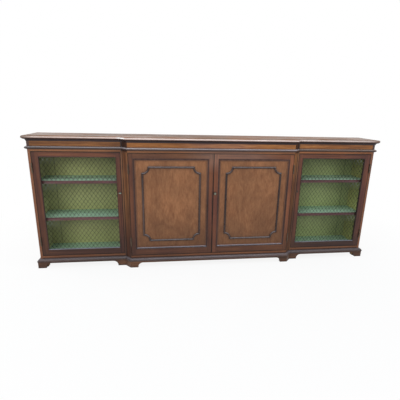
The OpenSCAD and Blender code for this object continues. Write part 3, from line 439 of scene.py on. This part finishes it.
def rubbedAndHighlitEdges(tree, place, look, rounded, colour):
    # polish rubbed pale, and painted highlight, where the rounded normal turns away from the face's
    # own
    turn = put(tree, "ShaderNodeVectorMath", {0: rounded, 1: faceNormal(tree)},
               operation="DOT_PRODUCT").outputs["Value"]
    rubAndHighlight = times(tree, ramp(tree, turn, [(0.80, 1.0), (0.985, 0.0)]),
                noise(tree, place, look["rubHighlightNoise"], 3))
    return mixColour(tree, calc(tree, "MULTIPLY", rubAndHighlight, look["rubAndHighlight"], clamp=True),
                     colour, look["rubHighlightColour"])


def dustAndHighlightShare(tree, place, parts, look, facing):
    # pale bluish dust and old wax, with painted highlight, on faces that look upwards, below a
    # given height
    dustAndHighlight = look["dustAndHighlight"]
    low, high = dustAndHighlight["facing"]
    uneven = ramp(tree, noise(tree, place, look["dustHighlightNoise"], 3), [(0.3, 0.7), (0.7, 1.0)])
    return times(tree, ramp(tree, facing[2], [(low, 0.0), (high, dustAndHighlight["most"])]),
                 calc(tree, "LESS_THAN", parts[2], dustAndHighlight["below"]), uneven)


def paintedNoseLight(tree, place, parts, look, facing, colour):
    # painted highlight along a rounded front edge, with one painted white glint, and painted shade
    # below it
    noseHighlightAndShade = look["noseHighlightAndShade"]
    level = calc(tree, "MULTIPLY_ADD", facing[2], 0.5, 0.5)  # 0 looks down, 1 looks up
    colour = mixColour(tree, ramp(tree, level, [(0.16, 1.0), (0.34, 0.0)]), colour, noseHighlightAndShade["under"])
    nose = ramp(tree, level, [(0.26, 0.0), (0.40, 1.0), (0.72, 1.0), (0.88, 0.0)])
    forward = between(tree, facing[1], -0.2, -0.4)
    uneven = ramp(tree, noise(tree, place, look["noseHighlightNoise"], 3), [(0.3, 0.72), (0.7, 1.0)])
    share = times(tree, nose, forward, byPlace(tree, parts, noseHighlightAndShade["across"]), uneven)
    away = calc(tree, "DIVIDE", apart(tree, parts[0], noseHighlightAndShade["glintAt"]), look["glintReach"])
    return mixColour(tree, share, colour, ramp(tree, away, [(0.2, grey(1.0)), (0.3, noseHighlightAndShade["tone"])]))


def woodFinish(name, look):
    # Polished wood: grain colour on Object coordinates, darker where grime and painted shade
    # gather, lighter where edges have rubbed and are painted as highlights, with the sheen of wax
    # over it.
    finish, tree, shader, place = startFinish(name)
    parts = split(tree, place)
    colour, blend, pores = grainColour(tree, place, look, look["grain"])
    if "stiles" in look:
        colour = frameJoints(tree, place, parts, look, colour)
    # dirt and painted shadow beside the door gap
    if "rim" in look:
        colour = toned(tree, colour, doorEdgeShade(tree, place, parts, look))
    # painted shade line down a post
    if "shadeLineAt" in look:
        colour = toned(tree, colour, postShadeLine(tree, parts, look))
    if "slope" in look:  # the part of a panel moulding next to the panel has the panel's tone
        start, blur = look["slope"]["start"], look["slopeBlend"]
        nearPanel = between(tree, insetFrom(tree, parts, *cabinet["panelSight"]),
                            start - blur, start + blur)
        panelTone = mixColour(tree, 1.0, colour, look["slope"]["tone"], "ADD")
        colour = mixColour(tree, nearPanel, colour, panelTone)
    # painted light and shade by height
    if "paintedShadingByHeight" in look:
        colour = toned(tree, colour, byHeight(tree, parts, look["paintedShadingByHeight"]))
    if "across" in look:
        acrossTone = byPlace(tree, parts, look["across"])
        colour = toned(tree, colour, acrossTone)
    cloud = noise(tree, place, look["clouds"], 3, 0.5, 0.3)
    colour = toned(tree, colour, ramp(tree, cloud, [(0.34, look["cloudDark"]),
                                                    (0.64, look["cloudLight"])]))
    # wax haze with painted reflection
    if "hazeAndReflection" in look:
        colour = waxHazeAndReflection(tree, place, parts, look, colour)
    # grime and painted shade in the corners
    colour = grimeAndShadeInCorners(tree, parts, look, colour)
    # painted shade and painted sheen round single places
    for spot in look.get("paintedLightSpots", ()):
        colour = paintedLightSpot(tree, parts, spot, colour)
    rounded = put(tree, "ShaderNodeBevel", {"Radius": look["round"]}, samples=4).outputs[0]
    facing = split(tree, rounded)
    # edges rubbed pale and painted as highlights
    colour = rubbedAndHighlitEdges(tree, place, look, rounded, colour)
    # pale dust with painted highlight on faces that look upwards
    if "dustAndHighlight" in look:
        dustHighlightTone = look["dustAndHighlight"]["tone"]
        if "across" in look:
            dustHighlightTone = toned(tree, acrossTone, dustHighlightTone)
        share = dustAndHighlightShare(tree, place, parts, look, facing)
        if "slope" in look:
            share = times(tree, share, calc(tree, "SUBTRACT", 1.0, nearPanel))
        colour = mixColour(tree, share, colour, dustHighlightTone)
    # painted highlight and painted shade on the nose
    if "noseHighlightAndShade" in look:
        colour = paintedNoseLight(tree, place, parts, look, facing, colour)
    smooth, dull = look["gloss"]
    smear = noise(tree, place, look["sheenNoise"], 4, 0.6)
    height = calc(tree, "MULTIPLY_ADD", pores, 0.5, times(tree, blend, 0.5))
    feed(tree, shader, {
        "Base Color": colour, "Specular IOR Level": look["shine"],
        "Roughness": ramp(tree, smear, [(0.3, smooth), (0.7, dull)]),
        "Normal": bump(tree, height, look["bump"], look["bumpDepth"], Normal=rounded)})
    return finish


finishes = {name: woodFinish(name, {**commonWood, **look}) for name, look in woods.items()}
print("wood finishes made:", len(finishes))


# Green paint inside the wings, over woods that show only beside it.

bareWoods = {
    "carcassEnd": dict(
        grain="z", dark=tint(86, 48, 26), mid=tint(120, 74, 43), light=tint(144, 94, 58),
        figure=(1.4, 26)),
    "backWood": dict(
        grain="z", dark=tint(104, 78, 50), mid=tint(134, 104, 70), light=tint(156, 126, 90),
        figure=(1.2, 18)),
    "hiddenWood": woods["hiddenWood"],
}

paintLook = {
    # the ledge paint is the wall's green with painted sky light from above, the ceiling's with
    # painted shade
    "wall": tint(194, 196, 126), "skyLitLedge": tint(194, 230, 203), "shadedCeiling": tint(134, 142, 78),
    "chipColour": tint(96, 84, 56), "shadeReach": 0.2, "paintRough": 0.72, "bareRough": 0.55,
    "bump": 0.2, "bumpDepth": 0.0006,
    "clouds": (4, 4, 4), "brushMarks": (160, 160, 5), "chips": (60, 60, 60),  # per metre
    "facing": 0.5,                              # how far along an axis a face's normal must go
    "postShadeTop": 0.82, "postShadeBlend": 0.006,        # end panels' front edges, in painted shade beside the frieze
    "boardJoint": 1.096, "jointReach": 0.0048,  # dark line where two back boards meet
    # painted light and shade by height, light above each shelf and in painted shade under the next
    # one
    "wallShadeByHeight": bayShadeTones((1.05, 1.1, 1.25), (0.5, 0.48, 0.6)),
    "endShadeByHeight": bayShadeTones(1.1, 0.3),
    "ledgeLightByHeight": ((0.2, 1.0), (0.3, 0.86), (0.5, 0.86), (0.56, 1.22)),
    # tones by place, the left wing and then the right one; the right wing's walls are darker as
    # painted shade
    "wallWings": ((0.3, 0.95), (0.7, (0.75, 0.85, 0.85))),
    "endWings": ((0.3, (1.0, 1.0, 1.3)), (0.7, 1.0)),
    "ledgeWings": ((0.3, 0.94), (0.7, 0.95)),
}


def looks(tree, way, sign=1):
    # 1 on faces that look along an axis, or with sign -1 against it
    return calc(tree, "GREATER_THAN", times(tree, way, sign), paintLook["facing"])


def outward(tree, parts, way):
    # how far a face looks towards its own end of the cabinet
    return times(tree, calc(tree, "SIGN", parts[0]), way[0])


def inWings(tree, parts):
    return calc(tree, "GREATER_THAN", calc(tree, "ABSOLUTE", parts[0]), cabinet["wingStart"])


def towardsMiddle(tree, parts, way):
    # faces of the end panels that look into the wings
    return times(tree, looks(tree, outward(tree, parts, way), -1),
                 calc(tree, "GREATER_THAN", parts[1], cabinet["paintStart"]))


def awayFromMiddle(tree, parts, way):
    # faces of the partitions that look into the wings
    return looks(tree, outward(tree, parts, way))


def frontInWings(tree, parts, way):
    return times(tree, inWings(tree, parts), looks(tree, way[1], -1))


def underWings(tree, parts, way):
    return times(tree, inWings(tree, parts), looks(tree, way[2], -1))


def overWings(tree, parts, way):
    return times(tree, inWings(tree, parts), looks(tree, way[2]))


def everywhere(tree, parts, way):
    # 1 on every face
    return calc(tree, "GREATER_THAN", calc(tree, "ABSOLUTE", parts[0]), -1.0)


paints = {  # wood below, painted faces, paint, its painted light and shade by height and by place
    "backBoards": ("backWood", frontInWings, "wall", "wallShadeByHeight", "wallWings"),
    "endPanel": ("carcassEnd", towardsMiddle, "wall", "endShadeByHeight", "endWings"),
    "partition": ("hiddenWood", awayFromMiddle, "wall", "wallShadeByHeight", "wallWings"),
    "floorBoard": ("hiddenWood", overWings, "skyLitLedge", "ledgeLightByHeight", "ledgeWings"),
    "ceilingBoard": ("hiddenWood", underWings, "shadedCeiling", "wallShadeByHeight", "wallWings"),
    "greenShelf": ("hiddenWood", everywhere, "skyLitLedge", "ledgeLightByHeight", "ledgeWings"),
}


def paintColour(tree, place, paint):
    # brushed matt paint: cloudy tone, brush marks, small chips
    cloud = noise(tree, place, paintLook["clouds"], 4, 0.6, 0.4)
    brush = noise(tree, place, paintLook["brushMarks"], 2)
    colour = toned(tree, paint, ramp(tree, cloud, [(0.3, 0.84), (0.7, 1.1)]))
    colour = toned(tree, colour, ramp(tree, brush, [(0.3, 0.95), (0.7, 1.04)]))
    chips = noise(tree, place, paintLook["chips"], 5, 0.7)
    colour = mixColour(tree, ramp(tree, chips, [(0.70, 0.0), (0.74, 0.7)]), colour,
                       paintLook["chipColour"])
    return colour, brush


def paintedFinish(name, wood, mask, paint, heights, wings):
    # Painted on one side: the mask is 1 on the painted faces, and the wood's own look
    # shows on the rest. The mask comes from Object coordinates and the face's direction.
    finish, tree, shader, place = startFinish(name)
    parts, way = split(tree, place), split(tree, faceNormal(tree))
    look = {**commonWood, **bareWoods[wood]}
    bare, _, pores = grainColour(tree, place, look, look["grain"])
    # painted shade on the end panels' front edges beside the frieze
    if name == "endPanel":
        above = calc(tree, "SUBTRACT", parts[2], paintLook["postShadeTop"])
        tone = ramp(tree, above, [(0.0, tint(244, 236, 234)),
                                  (paintLook["postShadeBlend"], tint(140, 130, 146))])
        bare = mixColour(tree, looks(tree, way[1], -1), bare, toned(tree, bare, tone))
    colour, brush = paintColour(tree, place, paintLook[paint])
    if name == "backBoards":
        gap = apart(tree, calc(tree, "ABSOLUTE", parts[0]), paintLook["boardJoint"])
        gap = calc(tree, "DIVIDE", gap, paintLook["jointReach"])
        colour = toned(tree, colour, ramp(tree, gap, [(0.2, 0.4), (0.7, 1.0)]))
    # painted light and shade, by place and then by height
    colour = toned(tree, colour, byPlace(tree, parts, paintLook[wings]))
    colour = toned(tree, colour, byHeight(tree, parts, paintLook[heights]))
    painted = mask(tree, parts, way)
    # painted shade where the occlusion finds something near
    shade = ramp(tree, occlusion(tree, paintLook["shadeReach"], 8),
                 [(0.2, 0.62), (0.5, 0.9), (0.85, 1.0)])
    height = calc(tree, "MULTIPLY_ADD", brush, 0.6, times(tree, pores, 0.4))
    feed(tree, shader, {
        "Base Color": toned(tree, mixColour(tree, painted, bare, colour), shade),
        "Roughness": ramp(tree, painted, [(0.0, paintLook["bareRough"]),
                                          (1.0, paintLook["paintRough"])]),
        "Normal": bump(tree, height, paintLook["bump"], paintLook["bumpDepth"])})
    return finish


for name, recipe in paints.items():
    finishes[name] = paintedFinish(name, *recipe)
print("paint finishes made:", len(paints))


# Metal. The lattice has painted light at its outer sides, and there only in the shade under
# the shelves and the top rail, where the wires show pale before the shaded wall.

commonMetal = {  # what a metal has unless it says otherwise
    "shine": 0.5, "clouds": (70, 70, 70), "specks": (420, 420, 420),
    "cloudShare": 0.75, "speckShare": 0.35, "bump": 0.2, "bumpDepth": 0.0002,
}

metals = {
    "handledBrass": dict(dull=tint(84, 76, 64), bright=tint(130, 134, 118), rough=(0.3, 0.5),
                         metal=0.6),
    "paleSteel": dict(dull=tint(120, 130, 120), bright=tint(182, 194, 184), rough=(0.3, 0.45),
                      metal=0.8),
    "oldBrass": dict(dull=tint(56, 46, 40), bright=tint(94, 78, 62), rough=(0.45, 0.65),
                     metal=0.35),
    "latticeWire": dict(
        dull=tint(24, 26, 28), bright=tint(44, 45, 45), rough=(0.5, 0.7), metal=0.0, shine=0.2,
        paintedLitWire=tint(150, 158, 146),
        paintedLitAcross=((0.05, 0.8), (0.09, 0.1), (0.91, 0.1), (0.95, 0.8)),
        paintedLitHeights=paintedLitBands(0.9)),
    "oldIron": dict(dull=tint(52, 48, 45), bright=tint(96, 92, 88), rough=(0.4, 0.65),
                    metal=0.8),
}


def metalFinish(name, look):
    # Old metal: bright where it is handled, dulled by a cloudy patina elsewhere.
    finish, tree, shader, place = startFinish(name)
    cloud = noise(tree, place, look["clouds"], 4, 0.6, 0.3)
    speck = noise(tree, place, look["specks"], 2)
    share = calc(tree, "MULTIPLY_ADD", speck, look["speckShare"],
                 times(tree, cloud, look["cloudShare"]))
    colour = ramp(tree, share, [(0.40, look["dull"]), (0.66, look["bright"])])
    # painted light on the wires before the shaded walls
    if "paintedLitWire" in look:
        parts = split(tree, place)
        paintedLitShare = times(tree, byPlace(tree, parts, look["paintedLitAcross"]),
                         byHeight(tree, parts, look["paintedLitHeights"]))
        colour = mixColour(tree, paintedLitShare, colour, look["paintedLitWire"])
    smooth, rough = look["rough"]
    feed(tree, shader, {
        "Base Color": colour, "Metallic": look["metal"], "Specular IOR Level": look["shine"],
        "Roughness": ramp(tree, share, [(0.4, rough), (0.66, smooth)]),
        "Normal": bump(tree, share, look["bump"], look["bumpDepth"])})
    return finish


for name, look in metals.items():
    finishes[name] = metalFinish(name, {**commonMetal, **look})
print("metal finishes made:", len(metals))


# Finishes onto the CAD nodes, in place of their plain colours.

dressing = {
    "topPolish": ["top_board"],
    "hollowMoulding": ["cornice_moulding"],
    "roundMoulding": ["astragal_moulding"],
    "plinthMoulding": ["plinth_moulding"],
    "plinthWood": ["plinth_front", "plinth_ends"],
    "frieze": ["frieze_boards"],
    "topRails": ["top_rails"],
    "bottomRails": ["bottom_rails"],
    "cornerPost": ["left_corner_post", "right_corner_post"],
    "endPanel": ["left_end_panel", "right_end_panel"],
    "partition": ["left_partition", "right_partition"],
    "ceilingBoard": ["carcass_top"],
    "floorBoard": ["carcass_floor"],
    "backBoards": ["back_panels"],
    "hiddenWood": ["door_stops", "centre_shelf", "plinth_back", "glue_blocks"],
    "greenShelf": ["left_wing_shelves", "right_wing_shelves", "shelf_bearers"],
    "shelfLip": ["shelf_lippings"],
    "wingFrame": ["left_wing_door_frame", "right_wing_door_frame"],
    "middleFrame": ["left_centre_door_frame", "right_centre_door_frame"],
    "bead": ["left_wing_grille_beads", "right_wing_grille_beads"],
    "doorPanel": ["left_centre_panel", "right_centre_panel"],
    "panelMoulding": ["left_centre_panel_moulding", "right_centre_panel_moulding"],
    "appliedMoulding": ["left_centre_applied_moulding", "right_centre_applied_moulding"],
    "oldBrass": ["carcass_hinge_leaves", "hinge_pins", "left_wing_hinge_leaves",
                 "left_centre_hinge_leaves", "right_centre_hinge_leaves",
                 "right_wing_hinge_leaves", "left_wing_escutcheon", "right_wing_escutcheon",
                 "strike_plates", "slide_bolt_plates", "upper_slide_bolt", "lower_slide_bolt"],
    "handledBrass": ["centre_knob"],
    "paleSteel": ["left_wing_key"],
    "oldIron": ["left_wing_lock", "right_wing_lock", "centre_lock",
                "left_wing_lock_bolt", "right_wing_lock_bolt", "centre_lock_bolt"],
    "latticeWire": ["left_wing_grille", "right_wing_grille"],
}
for name, dressed in dressing.items():
    for node in dressed:
        nodes[node].data.materials.clear()
        nodes[node].data.materials.append(finishes[name])
plain = sorted(set(nodes) - {node for dressed in dressing.values() for node in dressed})
print("nodes still plain:", plain)


# New pieces, each a surface worked out with numpy.

def makePiece(name, points, faces, finish, body, stands=None, smooth=True):
    # one mesh that rides on a body, and stands for a CAD node if one is given
    mesh = bpy.data.meshes.new(name)
    mesh.from_pydata(np.asarray(points, float).reshape(-1, 3).tolist(), [], faces)
    mesh.polygons.foreach_set("use_smooth", np.full(len(mesh.polygons), smooth))
    mesh.update()
    mesh.materials.append(finish)
    piece = bpy.data.objects.new(name, mesh)
    bpy.context.scene.collection.objects.link(piece)
    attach(piece, body)
    if stands:
        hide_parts(stands)


def tubeFaces(tubes, rings, sides):
    # Faces of many closed tubes at once. Vertex number = (tube * rings + ring) * sides + side;
    # each quad joins one ring to the next, and each end has one flat cap.
    t, r, k = np.meshgrid(np.arange(tubes), np.arange(rings - 1), np.arange(sides), indexing="ij")
    after = (k + 1) % sides
    low, high = (t * rings + r) * sides, (t * rings + r + 1) * sides
    quads = np.stack([low + k, low + after, high + after, high + k], -1).reshape(-1, 4)
    starts = np.arange(tubes)[:, None] * rings * sides
    first = starts + np.arange(sides)[::-1]
    last = starts + (rings - 1) * sides + np.arange(sides)
    return quads.tolist() + first.tolist() + last.tolist()


def rectangleLoops(x0, x1, z0, z1, y):
    # A section carried round a rectangular frame. Each row of the arrays is one point of the
    # section, and gives a rectangle from x0 to x1 and z0 to z1 at the depth y. The rectangles
    # are joined one after the other, and the last to the first.
    rows = len(y)
    points = np.stack([np.stack([x0, x1, x1, x0], -1), np.stack([y, y, y, y], -1),
                       np.stack([z0, z0, z1, z1], -1)], -1)
    i, k = np.meshgrid(np.arange(rows), np.arange(4), indexing="ij")
    down, after = (i + 1) % rows, (k + 1) % 4
    quads = np.stack([4 * i + k, 4 * i + after, 4 * down + after, 4 * down + k], -1)
    return points.reshape(-1, 3), quads.reshape(-1, 4).tolist()


lattice = {  # wires woven in diamonds, in a flat rim, for the right wing door
    "middle": (0.8805, -0.07655, 0.4475), "halfSight": (0.240, 0.3215),
    "rim": 0.005, "rimDepth": 0.0029, "diamond": (0.027, 0.0375),
    "wireRadius": 0.00095, "weave": 0.0006, "rings": 90, "sides": 6,
}


def latticeWires():
    # Every wire is a straight line c*v + t*u in the door's plane, clipped to the rim. It waves
    # in depth as weave * cos(pi * (own number + number of wires crossed so far)), so that it
    # passes over and under by turns. A circle of the wire's radius is carried along it.
    w, h = lattice["diamond"]
    run = math.hypot(w, h)
    pitch = w * h / run
    a, b = (half + lattice["rim"] / 2 for half in lattice["halfSight"])
    around = np.linspace(0, 2 * np.pi, lattice["sides"], endpoint=False)
    across, inDepth = lattice["wireRadius"] * np.cos(around), lattice["wireRadius"] * np.sin(around)
    points, count = [], 0
    for side in (1, -1):  # the two families of wires
        u = np.array([w / run, side * h / run])
        v = np.array([-u[1], u[0]])
        crossing = np.array([side * h / run, w / run])  # across the other family
        n = int((abs(v[0]) * a + abs(v[1]) * b) / pitch)
        k = np.arange(-n, n + 1)
        c = k * pitch
        lowT = np.maximum((-v[0] * c - a) / u[0], -v[1] * c / u[1] - b / abs(u[1]))
        highT = np.minimum((-v[0] * c + a) / u[0], -v[1] * c / u[1] + b / abs(u[1]))
        keep = highT - lowT > 3 * lattice["rim"]
        k, c, lowT, highT = k[keep], c[keep], lowT[keep], highT[keep]
        t = lowT[:, None] + (highT - lowT)[:, None] * np.linspace(0, 1, lattice["rings"])
        flat = c[:, None, None] * v + t[..., None] * u
        crossed = flat @ crossing / pitch
        depth = side * lattice["weave"] * np.cos(np.pi * (k[:, None] + crossed))
        x = flat[..., 0, None] + across * v[0]
        z = flat[..., 1, None] + across * v[1]
        points.append(np.stack([x, depth[..., None] + inDepth, z], -1).reshape(-1, 3))
        count += len(k)
    return np.concatenate(points), count


def latticePiece(name, side, body, stands):
    # The woven wires, and round them a rim whose section is a rectangle, rim wide and rimDepth
    # deep. Both are made about the origin and moved to the door, side being -1 for the left.
    wires, count = latticeWires()
    a, b = lattice["halfSight"]
    out = np.array([lattice["rim"], 0, 0, lattice["rim"]])
    depth = np.array([-1, -1, 1, 1]) * lattice["rimDepth"] / 2
    rim, rimFaces = rectangleLoops(-a - out, a + out, -b - out, b + out, depth)
    points = np.concatenate([wires, rim]) + np.array(lattice["middle"]) * (side, 1, 1)
    faces = tubeFaces(count, lattice["rings"], lattice["sides"])
    faces += (np.array(rimFaces) + len(wires)).tolist()
    makePiece(name, points, faces, finishes["latticeWire"], body, stands)


latticePiece("leftWireLattice", -1, "left_wing_door", "left_wing_grille")
latticePiece("rightWireLattice", 1, "right_wing_door", "right_wing_grille")

cockBead = {"width": 0.0045, "proud": 0.0018, "deep": 0.009, "steps": 7, "front": -0.088}


def cockBeadPiece(name, side, body):
    # A strip with a half-round nose round a wing door's opening. Its section, from the frame
    # inwards, is y = front - proud * sin(turn) while the offset goes (1 - cos(turn)) / 2 of the
    # width, and it runs straight back behind that.
    (a, b), (x, _, z) = lattice["halfSight"], lattice["middle"]
    x *= side
    width, front = cockBead["width"], cockBead["front"]
    back = [front + cockBead["deep"]]
    turn = np.linspace(0, np.pi, cockBead["steps"])
    inset = np.concatenate([[0.0], width * (1 - np.cos(turn)) / 2, [width]])
    depth = np.concatenate([back, front - cockBead["proud"] * np.sin(turn), back])
    points, faces = rectangleLoops(x - a + inset, x + a - inset, z - b + inset, z + b - inset,
                                   depth)
    makePiece(name, points, faces, finishes["bead"], body, smooth=False)


cockBeadPiece("leftSightBead", -1, "left_wing_door")
cockBeadPiece("rightSightBead", 1, "right_wing_door")
print("lattices and beads made")


# Floor, light and camera.

studio = {
    "floorTones": (tint(234, 234, 234), tint(236, 236, 236)), "floorHalf": 30.0,
    "floorDip": 0.0005,  # the floor lies this far under the feet
    "shadowShare": 0.88, "shadowFade": (0.9, 2.2),  # the floor turns white between these
    "skyTone": (0.97, 0.985, 1.0, 1.0), "skyLight": 0.40,
    "aim": (0.0, 0.0, 0.45),
    "lamps": {  # place, size, power, colour
        "windowLight": ((-2.4, -4.4, 2.2), (3.2, 2.2), 74, (1.0, 0.98, 0.95)),
        "fillLight": ((3.0, -4.6, 1.8), (2.8, 2.0), 44, (1.0, 0.97, 0.93)),
        "ceilingLight": ((0.2, -0.7, 3.0), (4.4, 1.6), 62, (0.86, 0.93, 1.0)),
        "sideLight": ((-3.6, 0.9, 1.8), (1.4, 1.0), 34, (1.0, 0.98, 0.96)),
    },
}


def seenRays(tree):
    # 1 for what the camera sees, also in a mirror or through glass
    rays = put(tree, "ShaderNodeLightPath").outputs
    indirect = calc(tree, "MAXIMUM", rays["Is Glossy Ray"], rays["Is Transmission Ray"])
    return calc(tree, "MAXIMUM", rays["Is Camera Ray"], indirect)


def floorFinish():
    # pale floor that keeps the shadow near the cabinet and turns white further out
    finish, tree, shader, place = startFinish("paleFloor")
    near, far = studio["floorTones"]
    grain = noise(tree, place, (3, 3, 3), 3)
    feed(tree, shader, {"Base Color": ramp(tree, grain, [(0.3, near), (0.7, far)]),
                        "Roughness": 0.9, "Specular IOR Level": 0.1})
    glow = put(tree, "ShaderNodeEmission", {"Color": grey(1.0), "Strength": 1.0}).outputs[0]
    away = put(tree, "ShaderNodeVectorMath", {0: place}, operation="LENGTH").outputs["Value"]
    share = times(tree, seenRays(tree),
                  between(tree, away, *studio["shadowFade"], studio["shadowShare"], 1.0))
    both = put(tree, "ShaderNodeMixShader", {0: share, 1: shader.outputs[0], 2: glow}).outputs[0]
    end = next(n for n in tree.nodes if n.type == "OUTPUT_MATERIAL")
    tree.links.new(both, end.inputs[0])
    return finish


s, dip = studio["floorHalf"], studio["floorDip"]
floorMesh = bpy.data.meshes.new("floor")
floorMesh.from_pydata([(-s, -s, -dip), (s, -s, -dip), (s, s, -dip), (-s, s, -dip)],
                      [], [(0, 1, 2, 3)])
floor = bpy.data.objects.new("floor", floorMesh)
bpy.context.scene.collection.objects.link(floor)
floorMesh.materials.append(floorFinish())

world = bpy.data.worlds.new("studio")
bpy.context.scene.world = world
world.use_nodes = True
sky = world.node_tree
sky.nodes.clear()
dim = put(sky, "ShaderNodeBackground", {"Color": studio["skyTone"], "Strength": studio["skyLight"]})
white = put(sky, "ShaderNodeBackground", {"Color": grey(1.0), "Strength": 1.0})
both = put(sky, "ShaderNodeMixShader", {0: seenRays(sky), 1: dim.outputs[0], 2: white.outputs[0]})
put(sky, "ShaderNodeOutputWorld", {0: both.outputs[0]})

for name, (spot, size, power, colour) in studio["lamps"].items():
    lamp = bpy.data.lights.new(name, "AREA")
    lamp.shape, lamp.size, lamp.size_y = "RECTANGLE", size[0], size[1]
    lamp.energy, lamp.color = power, colour
    holder = bpy.data.objects.new(name, lamp)
    holder.location = spot
    holder.rotation_mode = "QUATERNION"
    holder.rotation_quaternion = (Vector(studio["aim"]) - Vector(spot)).to_track_quat("-Z", "Y")
    bpy.context.scene.collection.objects.link(holder)

view = {  # read back from the photograph's corners: metres, radians and its pixels
    "place": (-0.32307, -2.26758, 1.08258), "yaw": 0.1449, "pitch": -0.2759, "roll": 0.0275,
    "focalPixels": 324.77, "middle": (211.22, 201.46), "frame": 400.0,
}
camera = bpy.data.cameras.new("camera")
camera.sensor_width = 36.0
camera.lens = view["focalPixels"] * camera.sensor_width / view["frame"]
camera.shift_x = (view["frame"] / 2 - view["middle"][0]) / view["frame"]
camera.shift_y = (view["middle"][1] - view["frame"] / 2) / view["frame"]
camera.clip_end = 100
eye = bpy.data.objects.new("camera", camera)
yaw, pitch, roll = view["yaw"], view["pitch"], view["roll"]
ahead = Vector((math.sin(yaw) * math.cos(pitch), math.cos(yaw) * math.cos(pitch), math.sin(pitch)))
right = Vector((math.cos(yaw), -math.sin(yaw), 0))
up = right.cross(ahead)
turnedRight = right * math.cos(roll) + up * math.sin(roll)
turnedUp = up * math.cos(roll) - right * math.sin(roll)
turned = Matrix((turnedRight, turnedUp, -ahead)).transposed().to_4x4()
eye.matrix_world = Matrix.Translation(view["place"]) @ turned
bpy.context.scene.collection.objects.link(eye)
bpy.context.scene.camera = eye
bpy.context.scene.view_settings.view_transform = "Standard"
print("stage, lamps and camera made")
